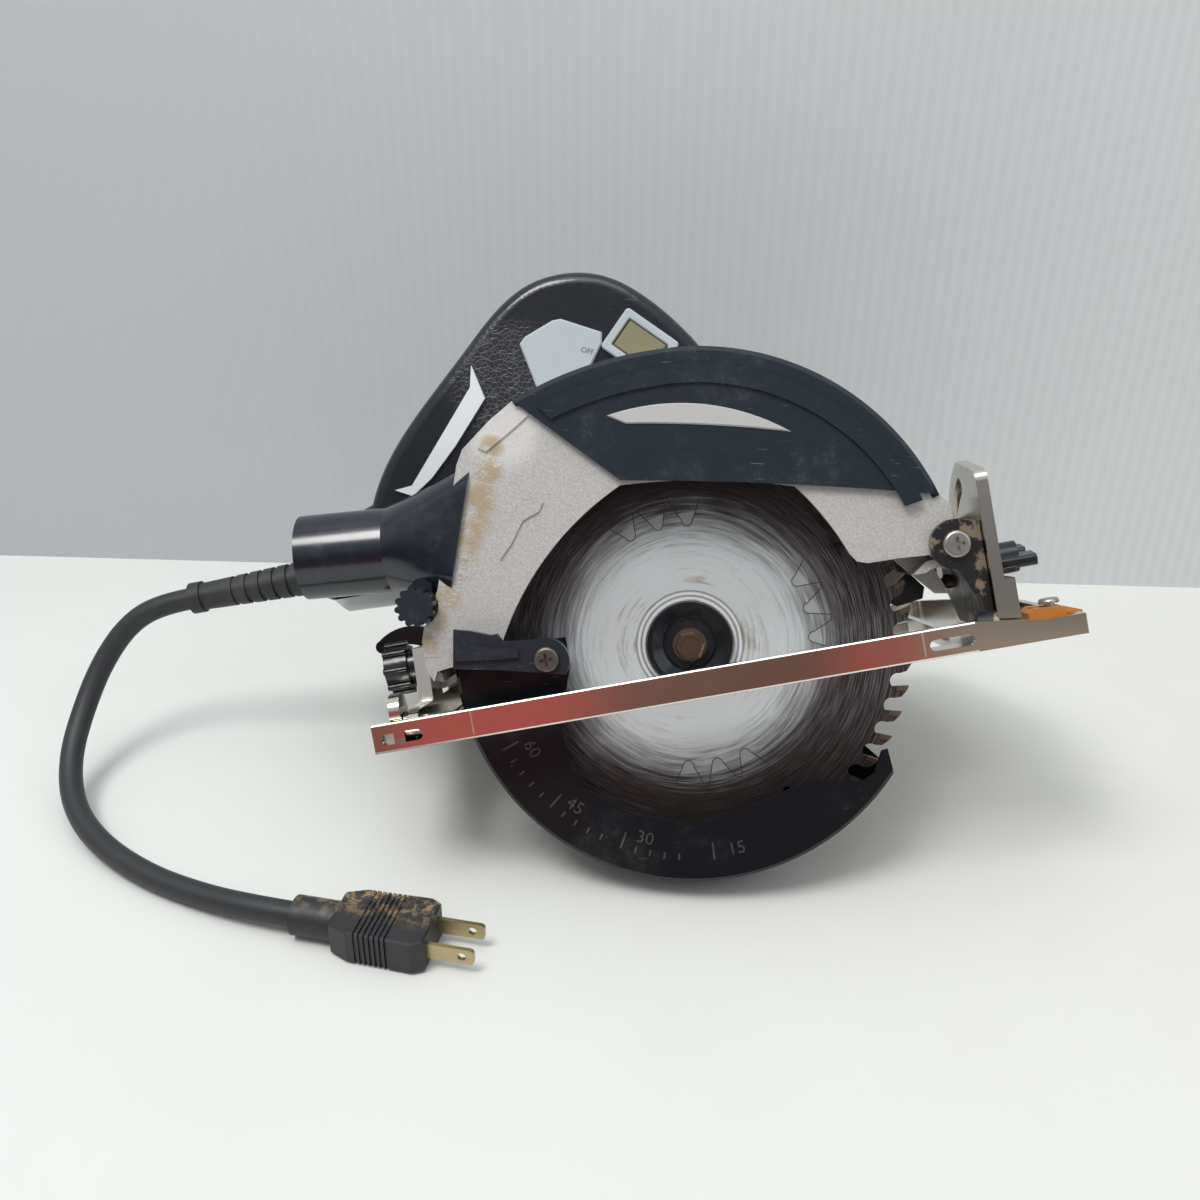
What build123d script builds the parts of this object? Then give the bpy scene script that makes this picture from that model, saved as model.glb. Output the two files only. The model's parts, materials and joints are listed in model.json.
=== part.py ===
from build123d import *
import math
import os

# Portable circular saw, millimetres.
# The saw is modelled upright: X runs forward along the cut, Y to the motor side, Z up, and the blade's
# centre is the origin. It is written lying as it is put down, on its guard, sole and motor end: the
# last section works that plane out from the three contacts.

os.makedirs("parts", exist_ok=True)

# ---- Driving dimensions ---------------------------------------------------------------------------
BLADE_R = 82.5            # 165 mm blade
BLADE_T = 1.2             # steel plate
KERF = 1.8                # width of the carbide tips
BLADE_BORE_R = 10.0
TEETH = 52
TOOTH_DEPTH = 6.0
TIP_LENGTH = 4.2          # carbide tip, along the radius
TIP_DEPTH = 1.9           # carbide tip, along the rim
SLOT_ANGLE = 23.5         # first expansion slot
SLOT_DEPTH = 16.5         # from the tips to the hole at its end
SLOT_WIDTH = 0.8

SPINDLE_R = 6.0
FLANGE_R = 16.5
FLANGE_T = 4.4
BOLT_R = 3.9
HEX_FLATS = 10.0
RUN_FIT = 0.06            # radial play of a shaft in its bore
PLAY = 0.3                # gap between pieces that pass each other

GUARD_R = 87.0            # lower guard, outside of the rim
GUARD_WALL = 1.6
GUARD_FRONT = -13.0       # outer face, right side
GUARD_BACK = 12.0         # outer face, motor side
GUARD_START = 172.0       # the rim runs from here, rear ...
GUARD_END = 318.0         # ... round under the blade to here, front
HUB_R = 20.0              # boss that the guard turns on
HUB_WALL = 4.0

CASE_R = 107.0            # fixed upper guard, over the cover
CASE_WALL = 3.0
CASE_FRONT = -20.0
CASE_BACK = 20.0
COVER_T = 2.6             # black cover on the case
COVER_BAND = 1.2          # raised band on the cover
COVER_DEPTH = 30.0        # how far the cover wraps over the rim

GEAR_MODULE = 1.25        # two stages, so that the gear case stays above the sole
SPINDLE_TEETH = 16
IDLER_TEETH = 14          # small gear of the countershaft
WHEEL_TEETH = 40          # large gear of the countershaft
PINION_TEETH = 9          # cut on the armature shaft
PRESSURE = math.radians(20)
ADDENDUM = 0.8            # of the module
PINION_ADDENDUM = 1.1
BACKLASH = 0.3
STAGE_TWO_Y = 22.5
STAGE_TWO_W = 6.5
STAGE_ONE_Y = 32.0
STAGE_ONE_W = 6.0
COUNTER_ANGLE = 60.0      # direction of the countershaft from the spindle
MOTOR_X = -14.0           # motor axis, behind the spindle axis
MOTOR_R = 42.0
MOTOR_WALL = 2.6
GEARBOX_END = 48.0        # Y where the gear housing meets the motor housing
MOTOR_END = 160.0         # Y where the end cover starts
COVER_END = 193.0         # Y of the end cover's outer face
END_ROUND = 7.0

HANDLE_RIGHT = 27.0       # Y of the handle's right face
HANDLE_LEFT = 63.0
HANDLE_SPLIT = 45.0
HANDLE_ROUND = 5.0
HANDLE_TOP_Z = 151.0

NOZZLE_R = 16.0
NOZZLE_WALL = 2.2

SOLE_Z = -16.5
BASE_REAR = -116.0
BASE_FRONT = 134.0
BASE_RIGHT = -34.0
BASE_LEFT = 119.0
BASE_PLATE = 2.5
BASE_RIM = 10.4           # height of the right rim
BASE_LOW_RIM = 7.0        # height of the other rims
BASE_RIM_T = 2.6

DEPTH_PIVOT_X = 97.5
DEPTH_PIVOT_Z = 20.6
DEPTH_SWING = 29.0        # degrees from full depth to least depth
GUIDE_R = 198.0           # slot of the depth guide about the pivot
GUIDE_W = 16.0
GUIDE_T = 3.0
BOLT_Z = 5.0              # height of the depth clamp bolt
CLAMP_R = 3.0             # shank of the clamp bolts

BEVEL_Y = -25.0           # bevel axis, along X
BEVEL_Z = -9.0
BEVEL_SWING = 45.0
QUADRANT_R = 54.0         # arc slot about the bevel axis
QUADRANT_CLAMP = 70.0     # degrees from upright to the clamp bolt
QUADRANT_X = 106.8        # rear face of the quadrant plate
QUADRANT_T = 4.2

CORD_D = 9.2
CORD_EXIT_X = -203.5      # end of the cord guard
CORD_EXIT_Z = 51.0
PIN_W = 6.35
PIN_T = 1.5
PIN_L = 17.0
PIN_SPACING = 12.7

# ---- Derived places -------------------------------------------------------------------------------
SLOT_END_R = BLADE_R - SLOT_DEPTH
SPINDLE_GEAR_R = GEAR_MODULE * SPINDLE_TEETH / 2
IDLER_R = GEAR_MODULE * IDLER_TEETH / 2
WHEEL_R = GEAR_MODULE * WHEEL_TEETH / 2
PINION_R = GEAR_MODULE * PINION_TEETH / 2
COUNTER_X = (SPINDLE_GEAR_R + IDLER_R) * math.cos(math.radians(COUNTER_ANGLE))
COUNTER_Z = (SPINDLE_GEAR_R + IDLER_R) * math.sin(math.radians(COUNTER_ANGLE))
MOTOR_Z = COUNTER_Z + math.sqrt((WHEEL_R + PINION_R) ** 2 - (COUNTER_X - MOTOR_X) ** 2)
COVER_FACE = CASE_FRONT - COVER_T
BASE_TOP = SOLE_Z + BASE_PLATE
HANDLE_W = HANDLE_LEFT - HANDLE_RIGHT
BOLT_ANGLE = math.degrees(math.asin((DEPTH_PIVOT_Z - BOLT_Z) / GUIDE_R))
BOLT_X = DEPTH_PIVOT_X - GUIDE_R * math.cos(math.radians(BOLT_ANGLE))
BEVEL_BOLT_Y = BEVEL_Y + QUADRANT_R * math.sin(math.radians(QUADRANT_CLAMP))
BEVEL_BOLT_Z = BEVEL_Z + QUADRANT_R * math.cos(math.radians(QUADRANT_CLAMP))


# ---- Helpers --------------------------------------------------------------------------------------
def side(y):
    """Plane across the saw at depth y: local x is forward, local y is up, normal to the right side."""
    return Plane(origin=(0, y, 0), x_dir=(1, 0, 0), z_dir=(0, -1, 0))


def front(x):
    """Plane square to the cut at x: local x is to the motor side, local y is up, normal forward."""
    return Plane(origin=(x, 0, 0), x_dir=(0, 1, 0), z_dir=(1, 0, 0))


def motor_side(y):
    """Like side(), but centred on the motor axis."""
    return Plane(origin=(MOTOR_X, y, MOTOR_Z), x_dir=(1, 0, 0), z_dir=(0, -1, 0))


def polar(radius, degrees, centre=(0.0, 0.0)):
    """Point at a radius and an angle from forward, turning up."""
    angle = math.radians(degrees)
    return (centre[0] + radius * math.cos(angle), centre[1] + radius * math.sin(angle))


def half_section(axis, *points):
    """Half section to be turned round an axis along Y, from its (radius, y) points."""
    with BuildSketch(Plane(origin=axis.position, x_dir=(1, 0, 0), z_dir=(0, 0, 1))) as half:
        with BuildLine():
            Polyline(*points, close=True)
        make_face()
    return half.sketch


SPINDLE = Axis((0, 0, 0), (0, 1, 0))
saw = {}                  # finished pieces of the saw, by name
lead = {}                 # the cord and its plug


# ---- Blade ----------------------------------------------------------------------------------------
PITCH = 2 * math.pi * BLADE_R / TEETH


def rim_point(tooth, depth, ahead):
    """Point of a tooth: depth below the tip circle, and ahead of the tip along the rim."""
    return polar(BLADE_R - depth, 360 * tooth / TEETH + math.degrees(ahead / BLADE_R))


def tip_outline(tooth):
    """Corners of a carbide tip, from its cutting edge down the face and up the seat."""
    return [rim_point(tooth, 0, 0), rim_point(tooth, TIP_LENGTH, -0.25 * TIP_LENGTH),
            rim_point(tooth, TIP_LENGTH, -0.25 * TIP_LENGTH - TIP_DEPTH), rim_point(tooth, 0.35, -TIP_DEPTH)]


with BuildPart() as blade:
    with BuildSketch(side(-BLADE_T / 2)):
        with BuildLine():
            for tooth in range(TEETH):
                edge, toe, seat, crown = tip_outline(tooth)
                root = rim_point(tooth, TOOTH_DEPTH, -0.25 * TOOTH_DEPTH)
                back = rim_point(tooth, 1.6, PITCH - 4.6)
                heel = rim_point(tooth, 4.2, PITCH - 5.9)
                Polyline(crown, seat, toe, root)
                ThreePointArc(root, rim_point(tooth, TOOTH_DEPTH + 1.2, 1.2), heel)
                Polyline(heel, back, tip_outline(tooth + 1)[3])
        make_face()
        Circle(BLADE_BORE_R, mode=Mode.SUBTRACT)
        with PolarLocations(SLOT_END_R, 4, start_angle=SLOT_ANGLE):
            Circle(1.5, mode=Mode.SUBTRACT)
        with PolarLocations((SLOT_END_R + BLADE_R) / 2, 4, start_angle=SLOT_ANGLE):
            Rectangle(BLADE_R - SLOT_END_R, SLOT_WIDTH, mode=Mode.SUBTRACT)
    extrude(amount=-BLADE_T)
saw["blade"] = blade

with BuildPart() as blade_tips:
    with BuildSketch(side(-KERF / 2)):
        with PolarLocations(0, TEETH):
            Polygon(*tip_outline(0), align=None)
    extrude(amount=-KERF)
saw["blade_tips"] = blade_tips

# ---- Spindle, flanges and bolt --------------------------------------------------------------------
NOSE_R = SPINDLE_R - 1
INNER_FLANGE_END = BLADE_T / 2 + FLANGE_T
SPINDLE_END = STAGE_TWO_Y + STAGE_TWO_W + 1
OUTER_FACE = -BLADE_T / 2 - 3.0
WASHER_R = 8.9
WASHER_T = 1.8
WASHER_SEAT = 1.4         # how deep the washer sits in the dished flange
HEAD_H = 5.2
BOLT_END = 20.0

with BuildPart() as inner_flange:
    revolve(half_section(SPINDLE, (NOSE_R + RUN_FIT, -BLADE_T / 2), (BLADE_BORE_R - RUN_FIT, -BLADE_T / 2),
                         (BLADE_BORE_R - RUN_FIT, BLADE_T / 2), (FLANGE_R, BLADE_T / 2),
                         (FLANGE_R, INNER_FLANGE_END), (NOSE_R + RUN_FIT, INNER_FLANGE_END)), axis=SPINDLE)
saw["inner_flange"] = inner_flange

with BuildPart() as outer_flange:
    revolve(half_section(SPINDLE, (NOSE_R + RUN_FIT, -BLADE_T / 2), (FLANGE_R, -BLADE_T / 2),
                         (FLANGE_R, OUTER_FACE + 0.6), (FLANGE_R - 0.6, OUTER_FACE),
                         (FLANGE_R - 2.4, OUTER_FACE), (WASHER_R + 0.8, OUTER_FACE + WASHER_SEAT),
                         (NOSE_R + RUN_FIT, OUTER_FACE + WASHER_SEAT)), axis=SPINDLE)
saw["outer_flange"] = outer_flange

with BuildPart() as blade_bolt:
    with BuildSketch(side(OUTER_FACE + WASHER_SEAT)):
        Circle(WASHER_R)
    extrude(amount=WASHER_T)
    with BuildSketch(side(OUTER_FACE + WASHER_SEAT - WASHER_T)):
        RegularPolygon(HEX_FLATS / 2, 6, major_radius=False)
    extrude(amount=HEAD_H)
    chamfer(blade_bolt.faces().sort_by(Axis.Y)[0].edges(), length=0.7)
    with BuildSketch(side(OUTER_FACE + WASHER_SEAT - WASHER_T - HEAD_H)):
        Circle(3.7)
    extrude(amount=-0.8, mode=Mode.SUBTRACT)
    with BuildSketch(side(OUTER_FACE + WASHER_SEAT)):
        Circle(BOLT_R)
    extrude(amount=-(BOLT_END - OUTER_FACE - WASHER_SEAT))
saw["blade_bolt"] = blade_bolt

with BuildPart() as spindle:
    revolve(half_section(SPINDLE, (BOLT_R + RUN_FIT, -BLADE_T / 2), (NOSE_R, -BLADE_T / 2),
                         (NOSE_R, INNER_FLANGE_END), (SPINDLE_R, INNER_FLANGE_END),
                         (SPINDLE_R, SPINDLE_END), (0, SPINDLE_END), (0, BOLT_END + 1),
                         (BOLT_R + RUN_FIT, BOLT_END + 1)),
            axis=SPINDLE)
saw["spindle"] = spindle


# ---- Gears ----------------------------------------------------------------------------------------
def half_tooth(radius, pitch_r, teeth):
    """Half of a tooth's angle in radians at a radius, on an involute flank, less the backlash."""
    base_r = pitch_r * math.cos(PRESSURE)
    at_radius = math.acos(min(1.0, base_r / radius))
    spread = math.tan(PRESSURE) - PRESSURE - math.tan(at_radius) + at_radius
    return math.pi / (2 * teeth) + spread - BACKLASH / (4 * pitch_r)


def gear_outline(pitch_r, teeth, addendum, root_r, first):
    """Face of a spur gear whose first tooth points at an angle in degrees."""
    flank = [max(root_r, pitch_r * math.cos(PRESSURE)), pitch_r, pitch_r + addendum]
    spread = [math.degrees(half_tooth(radius, pitch_r, teeth)) for radius in flank]
    foot = spread[0] * 1.05
    corners = []
    for tooth in range(teeth):
        middle = first + 360 * tooth / teeth
        corners.append(polar(root_r, middle - foot))
        corners += [polar(radius, middle - angle) for radius, angle in zip(flank, spread)]
        corners += [polar(radius, middle + angle) for radius, angle in reversed(list(zip(flank, spread)))]
        corners.append(polar(root_r, middle + foot))
    with BuildSketch() as gear:
        Polygon(*corners, align=None)
    return gear.sketch_local


def root_radius(pitch_r, mating_addendum):
    """Root circle that clears the mating gear's tips."""
    return pitch_r - mating_addendum * GEAR_MODULE - 0.3


MESH_TWO = COUNTER_ANGLE
MESH_ONE = math.degrees(math.atan2(MOTOR_Z - COUNTER_Z, MOTOR_X - COUNTER_X))
COUNTER_R = 4.0
GEARBOX_CLEAR = 0.8       # round the gear teeth
SHAFT_R = 5.0
SHAFT_START = 27.0
SHAFT_END = 188.0

with BuildPart() as spindle_gear:
    with BuildSketch(side(STAGE_TWO_Y)):
        add(gear_outline(SPINDLE_GEAR_R, SPINDLE_TEETH, ADDENDUM * GEAR_MODULE,
                         root_radius(SPINDLE_GEAR_R, ADDENDUM), MESH_TWO + 180 / SPINDLE_TEETH))
        Circle(SPINDLE_R, mode=Mode.SUBTRACT)
    extrude(amount=-STAGE_TWO_W)
saw["spindle_gear"] = spindle_gear

with BuildPart() as countershaft:
    with BuildSketch(Plane(origin=(COUNTER_X, STAGE_TWO_Y, COUNTER_Z), x_dir=(1, 0, 0), z_dir=(0, -1, 0))):
        add(gear_outline(IDLER_R, IDLER_TEETH, ADDENDUM * GEAR_MODULE,
                         root_radius(IDLER_R, ADDENDUM), MESH_TWO + 180))
    extrude(amount=-STAGE_TWO_W)
    with BuildSketch(Plane(origin=(COUNTER_X, CASE_BACK + 1, COUNTER_Z), x_dir=(1, 0, 0), z_dir=(0, -1, 0))):
        Circle(COUNTER_R)
    extrude(amount=-(GEARBOX_END - 2 - CASE_BACK - 1))
saw["countershaft"] = countershaft

with BuildPart() as countershaft_wheel:
    with BuildSketch(Plane(origin=(COUNTER_X, STAGE_ONE_Y, COUNTER_Z), x_dir=(1, 0, 0), z_dir=(0, -1, 0))):
        add(gear_outline(WHEEL_R, WHEEL_TEETH, ADDENDUM * GEAR_MODULE,
                         root_radius(WHEEL_R, PINION_ADDENDUM), MESH_ONE + 180 / WHEEL_TEETH))
        Circle(COUNTER_R, mode=Mode.SUBTRACT)
        with PolarLocations(15.0, 6):
            Circle(3.6, mode=Mode.SUBTRACT)
    extrude(amount=-STAGE_ONE_W)
saw["countershaft_wheel"] = countershaft_wheel

with BuildPart() as armature_shaft:
    with BuildSketch(motor_side(STAGE_ONE_Y - 1)):
        add(gear_outline(PINION_R, PINION_TEETH, PINION_ADDENDUM * GEAR_MODULE,
                         root_radius(PINION_R, ADDENDUM), MESH_ONE + 180))
    extrude(amount=-(STAGE_ONE_W + 2))
    with BuildSketch(motor_side(SHAFT_START)):
        Circle(root_radius(PINION_R, ADDENDUM))
    extrude(amount=-(GEARBOX_END - 6 - SHAFT_START))
    with BuildSketch(motor_side(GEARBOX_END - 6)):
        Circle(SHAFT_R)
    extrude(amount=-(SHAFT_END - GEARBOX_END + 6))
saw["armature_shaft"] = armature_shaft

# ---- Motor pieces ---------------------------------------------------------------------------------
CORE_START = 74.0
CORE_END = 118.0
CORE_R = 21.0
FAN_START = 54.0
FAN_END = 66.0
COMMUTATOR_START = 130.0
COMMUTATOR_END = 146.0
STATOR_R = MOTOR_R - MOTOR_WALL - PLAY
BEARING_R = 11.0

with BuildPart() as armature_core:
    with BuildSketch(motor_side(CORE_START)):
        Circle(CORE_R)
        Circle(SHAFT_R, mode=Mode.SUBTRACT)
        with PolarLocations(CORE_R, 12):
            Rectangle(5.0, 3.0, mode=Mode.SUBTRACT)
    extrude(amount=-(CORE_END - CORE_START))
    for start, end in ((CORE_START - 7, CORE_START), (CORE_END, CORE_END + 8)):
        with BuildSketch(motor_side(start)):
            Circle(CORE_R - 3.5)
            Circle(SHAFT_R, mode=Mode.SUBTRACT)
        extrude(amount=-(end - start))
saw["armature_core"] = armature_core

with BuildPart() as commutator:
    with BuildSketch(motor_side(COMMUTATOR_START)):
        Circle(12.0)
        Circle(SHAFT_R, mode=Mode.SUBTRACT)
        with PolarLocations(12.0, 20):
            Rectangle(2.4, 0.8, mode=Mode.SUBTRACT)
    extrude(amount=-(COMMUTATOR_END - COMMUTATOR_START))
saw["commutator"] = commutator

FAN_R = MOTOR_R - MOTOR_WALL - 3.0
with BuildPart() as cooling_fan:
    with BuildSketch(motor_side(FAN_END - 2)):
        Circle(FAN_R)
        Circle(SHAFT_R, mode=Mode.SUBTRACT)
    extrude(amount=-2)
    with BuildSketch(motor_side(FAN_START)):
        Circle(SHAFT_R + 4)
        Circle(SHAFT_R, mode=Mode.SUBTRACT)
        with PolarLocations((FAN_R + SHAFT_R + 6) / 2, 11):
            Rectangle(FAN_R - SHAFT_R - 8, 1.6, rotation=25)
    extrude(amount=-(FAN_END - 2 - FAN_START))
saw["cooling_fan"] = cooling_fan

with BuildPart() as stator:
    with BuildSketch(motor_side(CORE_START)):
        Circle(STATOR_R)
        Circle(CORE_R + 0.8, mode=Mode.SUBTRACT)
    extrude(amount=-(CORE_END - CORE_START))
    for across in (-1, 1):
        with BuildSketch(motor_side(CORE_START - 5)):
            with Locations((0, across * (CORE_R + 9))):
                RectangleRounded(29, 8, 3)
        extrude(amount=-(CORE_END - CORE_START + 10))
saw["stator"] = stator

BRUSH_Y = (COMMUTATOR_START + COMMUTATOR_END) / 2
with BuildPart() as carbon_brushes:
    for across in (-1, 1):
        with BuildSketch(Plane(origin=(MOTOR_X + across * 12.2, BRUSH_Y, MOTOR_Z),
                               x_dir=(0, 1, 0), z_dir=(across, 0, 0))):
            Rectangle(8, 5)
        extrude(amount=13)
saw["carbon_brushes"] = carbon_brushes

with BuildPart() as brush_holders:
    for across in (-1, 1):
        with BuildSketch(Plane(origin=(MOTOR_X + across * 14.0, BRUSH_Y, MOTOR_Z),
                               x_dir=(0, 1, 0), z_dir=(across, 0, 0))):
            Rectangle(12, 9)
            Rectangle(8 + 2 * RUN_FIT, 5 + 2 * RUN_FIT, mode=Mode.SUBTRACT)
        extrude(amount=MOTOR_R - 14 - 3)
    for across in (-1, 1):
        with BuildSketch(Plane(origin=(MOTOR_X + across * (MOTOR_R - 3), BRUSH_Y, MOTOR_Z),
                               x_dir=(0, 1, 0), z_dir=(across, 0, 0))):
            Circle(7.0)
        extrude(amount=4.0)
        with BuildSketch(Plane(origin=(MOTOR_X + across * (MOTOR_R + 1), BRUSH_Y, MOTOR_Z),
                               x_dir=(0, 1, 0), z_dir=(across, 0, 0))):
            Rectangle(10, 1.6)
        extrude(amount=-1.2, mode=Mode.SUBTRACT)
saw["brush_holders"] = brush_holders

# ---- Gear housing ---------------------------------------------------------------------------------
BEARING_SEAT_R = 14.0
BOSS_FRONT = 6.5
GEARBOX_WALL = 2.2
WHEEL_SHELL_R = WHEEL_R + ADDENDUM * GEAR_MODULE + GEARBOX_CLEAR + GEARBOX_WALL
SPINDLE_SHELL_R = SPINDLE_GEAR_R + ADDENDUM * GEAR_MODULE + GEARBOX_CLEAR + GEARBOX_WALL
STAGE_WALL_Y = STAGE_TWO_Y + STAGE_TWO_W + 2.0
COUNTER_SEAT_R = 7.0

with BuildPart() as gear_housing:
    with BuildSketch(side(CASE_BACK)):
        Circle(SPINDLE_SHELL_R)
        with Locations((COUNTER_X, COUNTER_Z)):
            Circle(WHEEL_SHELL_R)
        with Locations((MOTOR_X, MOTOR_Z)):
            Circle(MOTOR_R)
        make_hull()
    extrude(amount=-(STAGE_WALL_Y - CASE_BACK))
    with BuildSketch(side(STAGE_WALL_Y)):
        with Locations((COUNTER_X, COUNTER_Z)):
            Circle(WHEEL_SHELL_R)
        with Locations((MOTOR_X, MOTOR_Z)):
            Circle(MOTOR_R)
        make_hull()
    extrude(amount=-(GEARBOX_END - STAGE_WALL_Y))
    with BuildSketch(side(BOSS_FRONT)):
        Circle(HUB_R)
    extrude(amount=-(CASE_BACK - BOSS_FRONT))
    with BuildSketch(side(CASE_BACK + 2)):
        Circle(SPINDLE_SHELL_R - GEARBOX_WALL)
        with Locations((COUNTER_X, COUNTER_Z)):
            Circle(IDLER_R + ADDENDUM * GEAR_MODULE + GEARBOX_CLEAR)
        make_hull()
    extrude(amount=-(STAGE_WALL_Y - CASE_BACK - 4), mode=Mode.SUBTRACT)
    with BuildSketch(side(STAGE_WALL_Y - 2)):
        with Locations((COUNTER_X, COUNTER_Z)):
            Circle(WHEEL_SHELL_R - GEARBOX_WALL)
        with Locations((MOTOR_X, MOTOR_Z)):
            Circle(PINION_R + 3)
        make_hull()
    extrude(amount=-(STAGE_ONE_Y + STAGE_ONE_W + 2 - STAGE_WALL_Y + 2), mode=Mode.SUBTRACT)
    with BuildSketch(side(BOSS_FRONT + 1.5)):
        Circle(BEARING_SEAT_R)
    extrude(amount=-(CASE_BACK + 2 - BOSS_FRONT - 1.5), mode=Mode.SUBTRACT)
    with BuildSketch(side(BOSS_FRONT)):
        Circle(SPINDLE_R + 3)
    extrude(amount=-1.5, mode=Mode.SUBTRACT)
    with BuildSketch(side(GEARBOX_END)):
        with Locations((MOTOR_X, MOTOR_Z)):
            Circle(BEARING_R)
        with Locations((COUNTER_X, COUNTER_Z)):
            Circle(COUNTER_SEAT_R)
    extrude(amount=6, mode=Mode.SUBTRACT)
    with BuildSketch(side(GEARBOX_END)):
        with Locations((MOTOR_X, MOTOR_Z)):
            Circle(SHAFT_R + 1)
        with Locations((COUNTER_X, COUNTER_Z)):
            Circle(COUNTER_R + RUN_FIT)
    extrude(amount=GEARBOX_END - CASE_BACK - 0.5, mode=Mode.SUBTRACT)
saw["gear_housing"] = gear_housing

with BuildPart() as ball_bearings:
    for start in (BOSS_FRONT + 1.5, BOSS_FRONT + 8.0):
        with BuildSketch(side(start)):
            Circle(BEARING_SEAT_R)
            Circle(SPINDLE_R + RUN_FIT, mode=Mode.SUBTRACT)
        extrude(amount=-6)
    with BuildSketch(side(GEARBOX_END - 6)):
        with Locations((COUNTER_X, COUNTER_Z)):
            Circle(COUNTER_SEAT_R)
            Circle(COUNTER_R + RUN_FIT, mode=Mode.SUBTRACT)
    extrude(amount=-4)
    for start in (GEARBOX_END - 6, SHAFT_END - 9):
        with BuildSketch(motor_side(start)):
            Circle(BEARING_R)
            Circle(SHAFT_R + RUN_FIT, mode=Mode.SUBTRACT)
        extrude(amount=-6)
saw["ball_bearings"] = ball_bearings

# ---- Motor housing and end cover ------------------------------------------------------------------
with BuildPart() as motor_housing:
    with BuildSketch(motor_side(GEARBOX_END)):
        Circle(MOTOR_R)
        Circle(MOTOR_R - MOTOR_WALL, mode=Mode.SUBTRACT)
    extrude(amount=-(MOTOR_END - GEARBOX_END))
    for height in (-14, -7, 0, 7, 14):
        with BuildSketch(Plane(origin=(MOTOR_X + MOTOR_R, FAN_START + 6, MOTOR_Z + height),
                               x_dir=(0, 1, 0), z_dir=(1, 0, 0))):
            SlotOverall(14, 3)
        extrude(amount=-12, mode=Mode.SUBTRACT)
    with BuildSketch(Plane(origin=(MOTOR_X, BRUSH_Y, MOTOR_Z), x_dir=(0, 1, 0), z_dir=(1, 0, 0))):
        Circle(7.0 + RUN_FIT)
    extrude(amount=MOTOR_R + 2, both=True, mode=Mode.SUBTRACT)
saw["motor_housing"] = motor_housing

VENTS = 10
SEAT_START = SHAFT_END - 9
with BuildPart() as motor_end_cover:
    with BuildSketch(motor_side(MOTOR_END)):
        Circle(MOTOR_R)
    extrude(amount=-(COVER_END - MOTOR_END))
    fillet(motor_end_cover.faces().sort_by(Axis.Y)[-1].edges(), radius=END_ROUND)
    with BuildSketch(motor_side(MOTOR_END)):
        Circle(MOTOR_R - MOTOR_WALL)
        Circle(BEARING_R + 3, mode=Mode.SUBTRACT)
    extrude(amount=-(COVER_END - MOTOR_WALL - MOTOR_END - 2), mode=Mode.SUBTRACT)
    with BuildSketch(motor_side(MOTOR_END)):
        Circle(BEARING_R + 3)
    extrude(amount=-(SEAT_START - MOTOR_END), mode=Mode.SUBTRACT)
    with BuildSketch(motor_side(SEAT_START)):
        Circle(BEARING_R)
    extrude(amount=-(SHAFT_END + 1 - SEAT_START), mode=Mode.SUBTRACT)
    with BuildSketch(motor_side(COVER_END)):
        with PolarLocations((MOTOR_R + BEARING_R) / 2, VENTS, start_angle=18):
            SlotOverall(14, 3.2)
    extrude(amount=8, mode=Mode.SUBTRACT)
saw["motor_end_cover"] = motor_end_cover

COVER_SCREW_R = 28.0
SCREW_HEAD_R = 3.4
SCREW_HEAD_T = 2.2
SCREW_SHANK_R = 1.9
SCREW_BOSS = 12.0
with BuildPart() as housing_screws:
    with BuildSketch(motor_side(COVER_END - 0.4)):
        with PolarLocations(COVER_SCREW_R, 2):
            Circle(SCREW_HEAD_R)
    extrude(amount=SCREW_HEAD_T)
    with BuildSketch(motor_side(COVER_END - 0.4 - SCREW_HEAD_T)):
        with PolarLocations(COVER_SCREW_R, 2):
            Circle(SCREW_SHANK_R)
    extrude(amount=SCREW_BOSS - 3)
    with BuildSketch(motor_side(COVER_END - 0.4)):
        with PolarLocations(COVER_SCREW_R, 2):
            Rectangle(4.2, 1.0)
            Rectangle(1.0, 4.2)
    extrude(amount=1.3, mode=Mode.SUBTRACT)
with motor_end_cover:
    with BuildSketch(motor_side(COVER_END - MOTOR_WALL)):
        with PolarLocations(COVER_SCREW_R, 2):
            Circle(SCREW_SHANK_R + 2.2)
    extrude(amount=SCREW_BOSS)
    with BuildSketch(motor_side(COVER_END)):
        with PolarLocations(COVER_SCREW_R, 2):
            Circle(SCREW_HEAD_R)
    extrude(amount=SCREW_HEAD_T + 0.4, mode=Mode.SUBTRACT)
    with BuildSketch(motor_side(COVER_END - SCREW_HEAD_T - 0.4)):
        with PolarLocations(COVER_SCREW_R, 2):
            Circle(SCREW_SHANK_R)
    extrude(amount=SCREW_BOSS - 3, mode=Mode.SUBTRACT)
saw["housing_screws"] = housing_screws

# ---- Upper guard: case and cover ------------------------------------------------------------------
SPLIT_FOOT = (-13.9, 63.8)


def over(angle, inset=0.0):
    """Point of the cover's outer edge at an angle; the edge swells a little to the rear."""
    swell = 2.4 * max(0.0, (angle - 87.6) / 28) ** 2 - 4.2 * max(0.0, (57 - angle) / 35) ** 2
    return polar(CASE_R + swell - inset, angle)


with BuildSketch() as silhouette:
    with BuildLine():
        ThreePointArc(over(115.5), over(101.5), over(87.6))
        ThreePointArc(over(87.6), over(54.8), over(22))
        Polyline(over(22), (98.4, 35), (99.2, 27), (97.5, 13), (88.8, 13), (61, -8), (-60, -8),
                 (-93.6, 4.3), (-95.5, 8.4), (-95.3, 19.6), (-92.8, 26.6), (-86.3, 36.7), (-71, 80),
                 (-68, 85), (-56.5, 93.4), over(115.5))
    make_face()

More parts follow.
